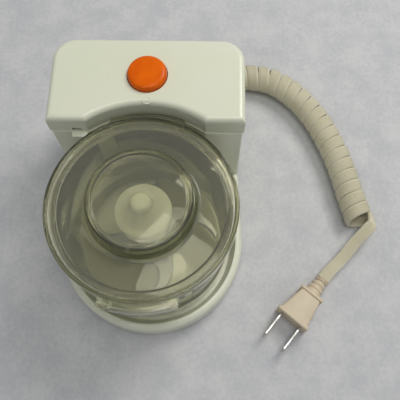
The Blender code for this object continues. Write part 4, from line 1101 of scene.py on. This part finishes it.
def make_knife(name, low, first_angle):
    knife = slab(name, blade_plan(first_angle), low, low + 1.0)
    carve(knife, rod("stem_hole", 12.5, low - 1.0, low + 2.0, BOWL, sides=96))
    bpy.ops.object.mode_set(mode="EDIT")

    def leading(vert):
        reach = math.hypot(vert.co.x, vert.co.y - BOWL_Y) / MM
        if vert.co.z < (low + 0.9) * MM or not 17.0 < reach < 38.2:
            return False
        part = (reach - ROOT_RADIUS) / ARM_LENGTH
        angle = math.degrees(math.atan2(vert.co.y - BOWL_Y, vert.co.x))
        off = (angle - first_angle + SWEEP * part**1.6 + 90.0) % 180.0 - 90.0
        return off < -1.0

    choose(knife, "VERT", leading)
    bpy.ops.transform.rotate(value=math.radians(-3.2), orient_axis="Z", center_override=BOWL)
    bpy.ops.transform.translate(value=(0.0, 0.0, -0.12 * MM))
    bpy.ops.object.mode_set(mode="OBJECT")
    return smooth(knife, 20.0)


for name, low, first_angle, node in (
    ("knife_low", 15.8, -60.0, "blade_lower"),
    ("knife_high", 30.0, 30.0, "blade_upper"),
):
    dress(make_knife(name, low, first_angle), BLADE_STEEL, "steel", "blades", node)

# %% [markdown]
# ## Finishes for the parts inside
# The motor, belt, switch and screws are hidden until the machine is taken apart. Their plain
# solids have the right shape, so each only gets a finish that suits what it is made of, matched
# by the slot that the record gives it.

# %% Inner finishes
def make_moulded(name, dark, light, rough, scale=240.0, **extra):
    """A moulded or rolled surface: two close colours in clouds, over a fine grain."""
    finish = Finish(name)
    cloud = finish.noise(scale * 0.25, 3.0)
    grain = finish.noise(scale * 6.0, 2.0, 0.6)
    colour = finish.mix((0.6 * cloud + 0.4 * grain).smooth(0.35, 0.65), dark, light)
    skin = finish.bump(grain, 0.00004, 0.5)
    return finish.surface(Base_Color=colour, Roughness=rough + 0.15 * cloud, Normal=skin, **extra)


def make_layered(name, dark, light, rough, spacing, axis):
    """Thin layers or strands side by side, drawn as lines across one axis."""
    finish = Finish(name)
    settings = {"wave_type": "BANDS", "bands_direction": axis}
    sockets = {"Vector": finish.place, "Scale": 0.314 / spacing, "Distortion": 0.3}
    wave = finish.node("ShaderNodeTexWave", settings, sockets)
    cloud = finish.noise(200.0, 3.0)
    colour = finish.mix((0.75 * wave + 0.25 * cloud).smooth(0.15, 0.75), dark, light)
    skin = finish.bump(wave, 0.00012, 0.8)
    gloss = rough + 0.12 * cloud
    return finish.surface(Base_Color=colour, Roughness=gloss, Metallic=1.0, Normal=skin)


def make_silicone():
    finish = Finish("clear_silicone")
    cloud = finish.noise(150.0, 3.0)
    colour = finish.mix(cloud.smooth(0.3, 0.7), (0.80, 0.80, 0.70), (0.86, 0.86, 0.78))
    return finish.surface(
        Base_Color=colour, Roughness=0.25 + 0.15 * cloud, IOR=1.41, Transmission_Weight=0.85
    )


FINISHES = {
    "cream_plastic": CREAM,
    "rubber": make_moulded("black_rubber", (0.020, 0.020, 0.020), (0.045, 0.045, 0.043), 0.65),
    "clear_silicone": make_silicone(),
    "steel": make_steel("ground_steel", (0.60, 0.60, 0.59), 0.22, (1.0, 1.0, 0.05)),
    "inner_plastic": make_moulded("white_nylon", (0.66, 0.65, 0.60), (0.76, 0.75, 0.70), 0.36),
    "black_plastic": make_moulded(
        "black_plastic", (0.018, 0.018, 0.019), (0.035, 0.035, 0.036), 0.36
    ),
    "lamination_steel": make_layered(
        "lamination_steel", (0.07, 0.07, 0.075), (0.24, 0.24, 0.25), 0.40, 0.0010, "Z"
    ),
    "copper": make_layered(
        "copper_wire", (0.40, 0.15, 0.07), (0.86, 0.42, 0.22), 0.26, 0.0006, "DIAGONAL"
    ),
    "bronze": make_moulded(
        "sintered_bronze", (0.36, 0.23, 0.10), (0.56, 0.38, 0.18), 0.38, 500.0, Metallic=1.0
    ),
    "carbon": make_moulded("carbon", (0.012, 0.012, 0.012), (0.030, 0.030, 0.031), 0.55, 700.0),
    "lead_insulation": make_moulded(
        "lead_insulation", (0.16, 0.05, 0.02), (0.24, 0.09, 0.04), 0.40
    ),
}
NEUTRAL_LEAD = make_moulded("neutral_insulation", (0.02, 0.08, 0.28), (0.04, 0.13, 0.40), 0.40)

for row in frame["record"]["subparts"]:
    part = frame["nodes"][row["node"]]
    finish = FINISHES.get(row["material_slot"])
    if part.hide_render or not finish:
        continue
    if row["node"] == "lead_neutral":
        finish = NEUTRAL_LEAD
    part.data.materials.clear()
    part.data.materials.append(finish)
print("finishes are on")
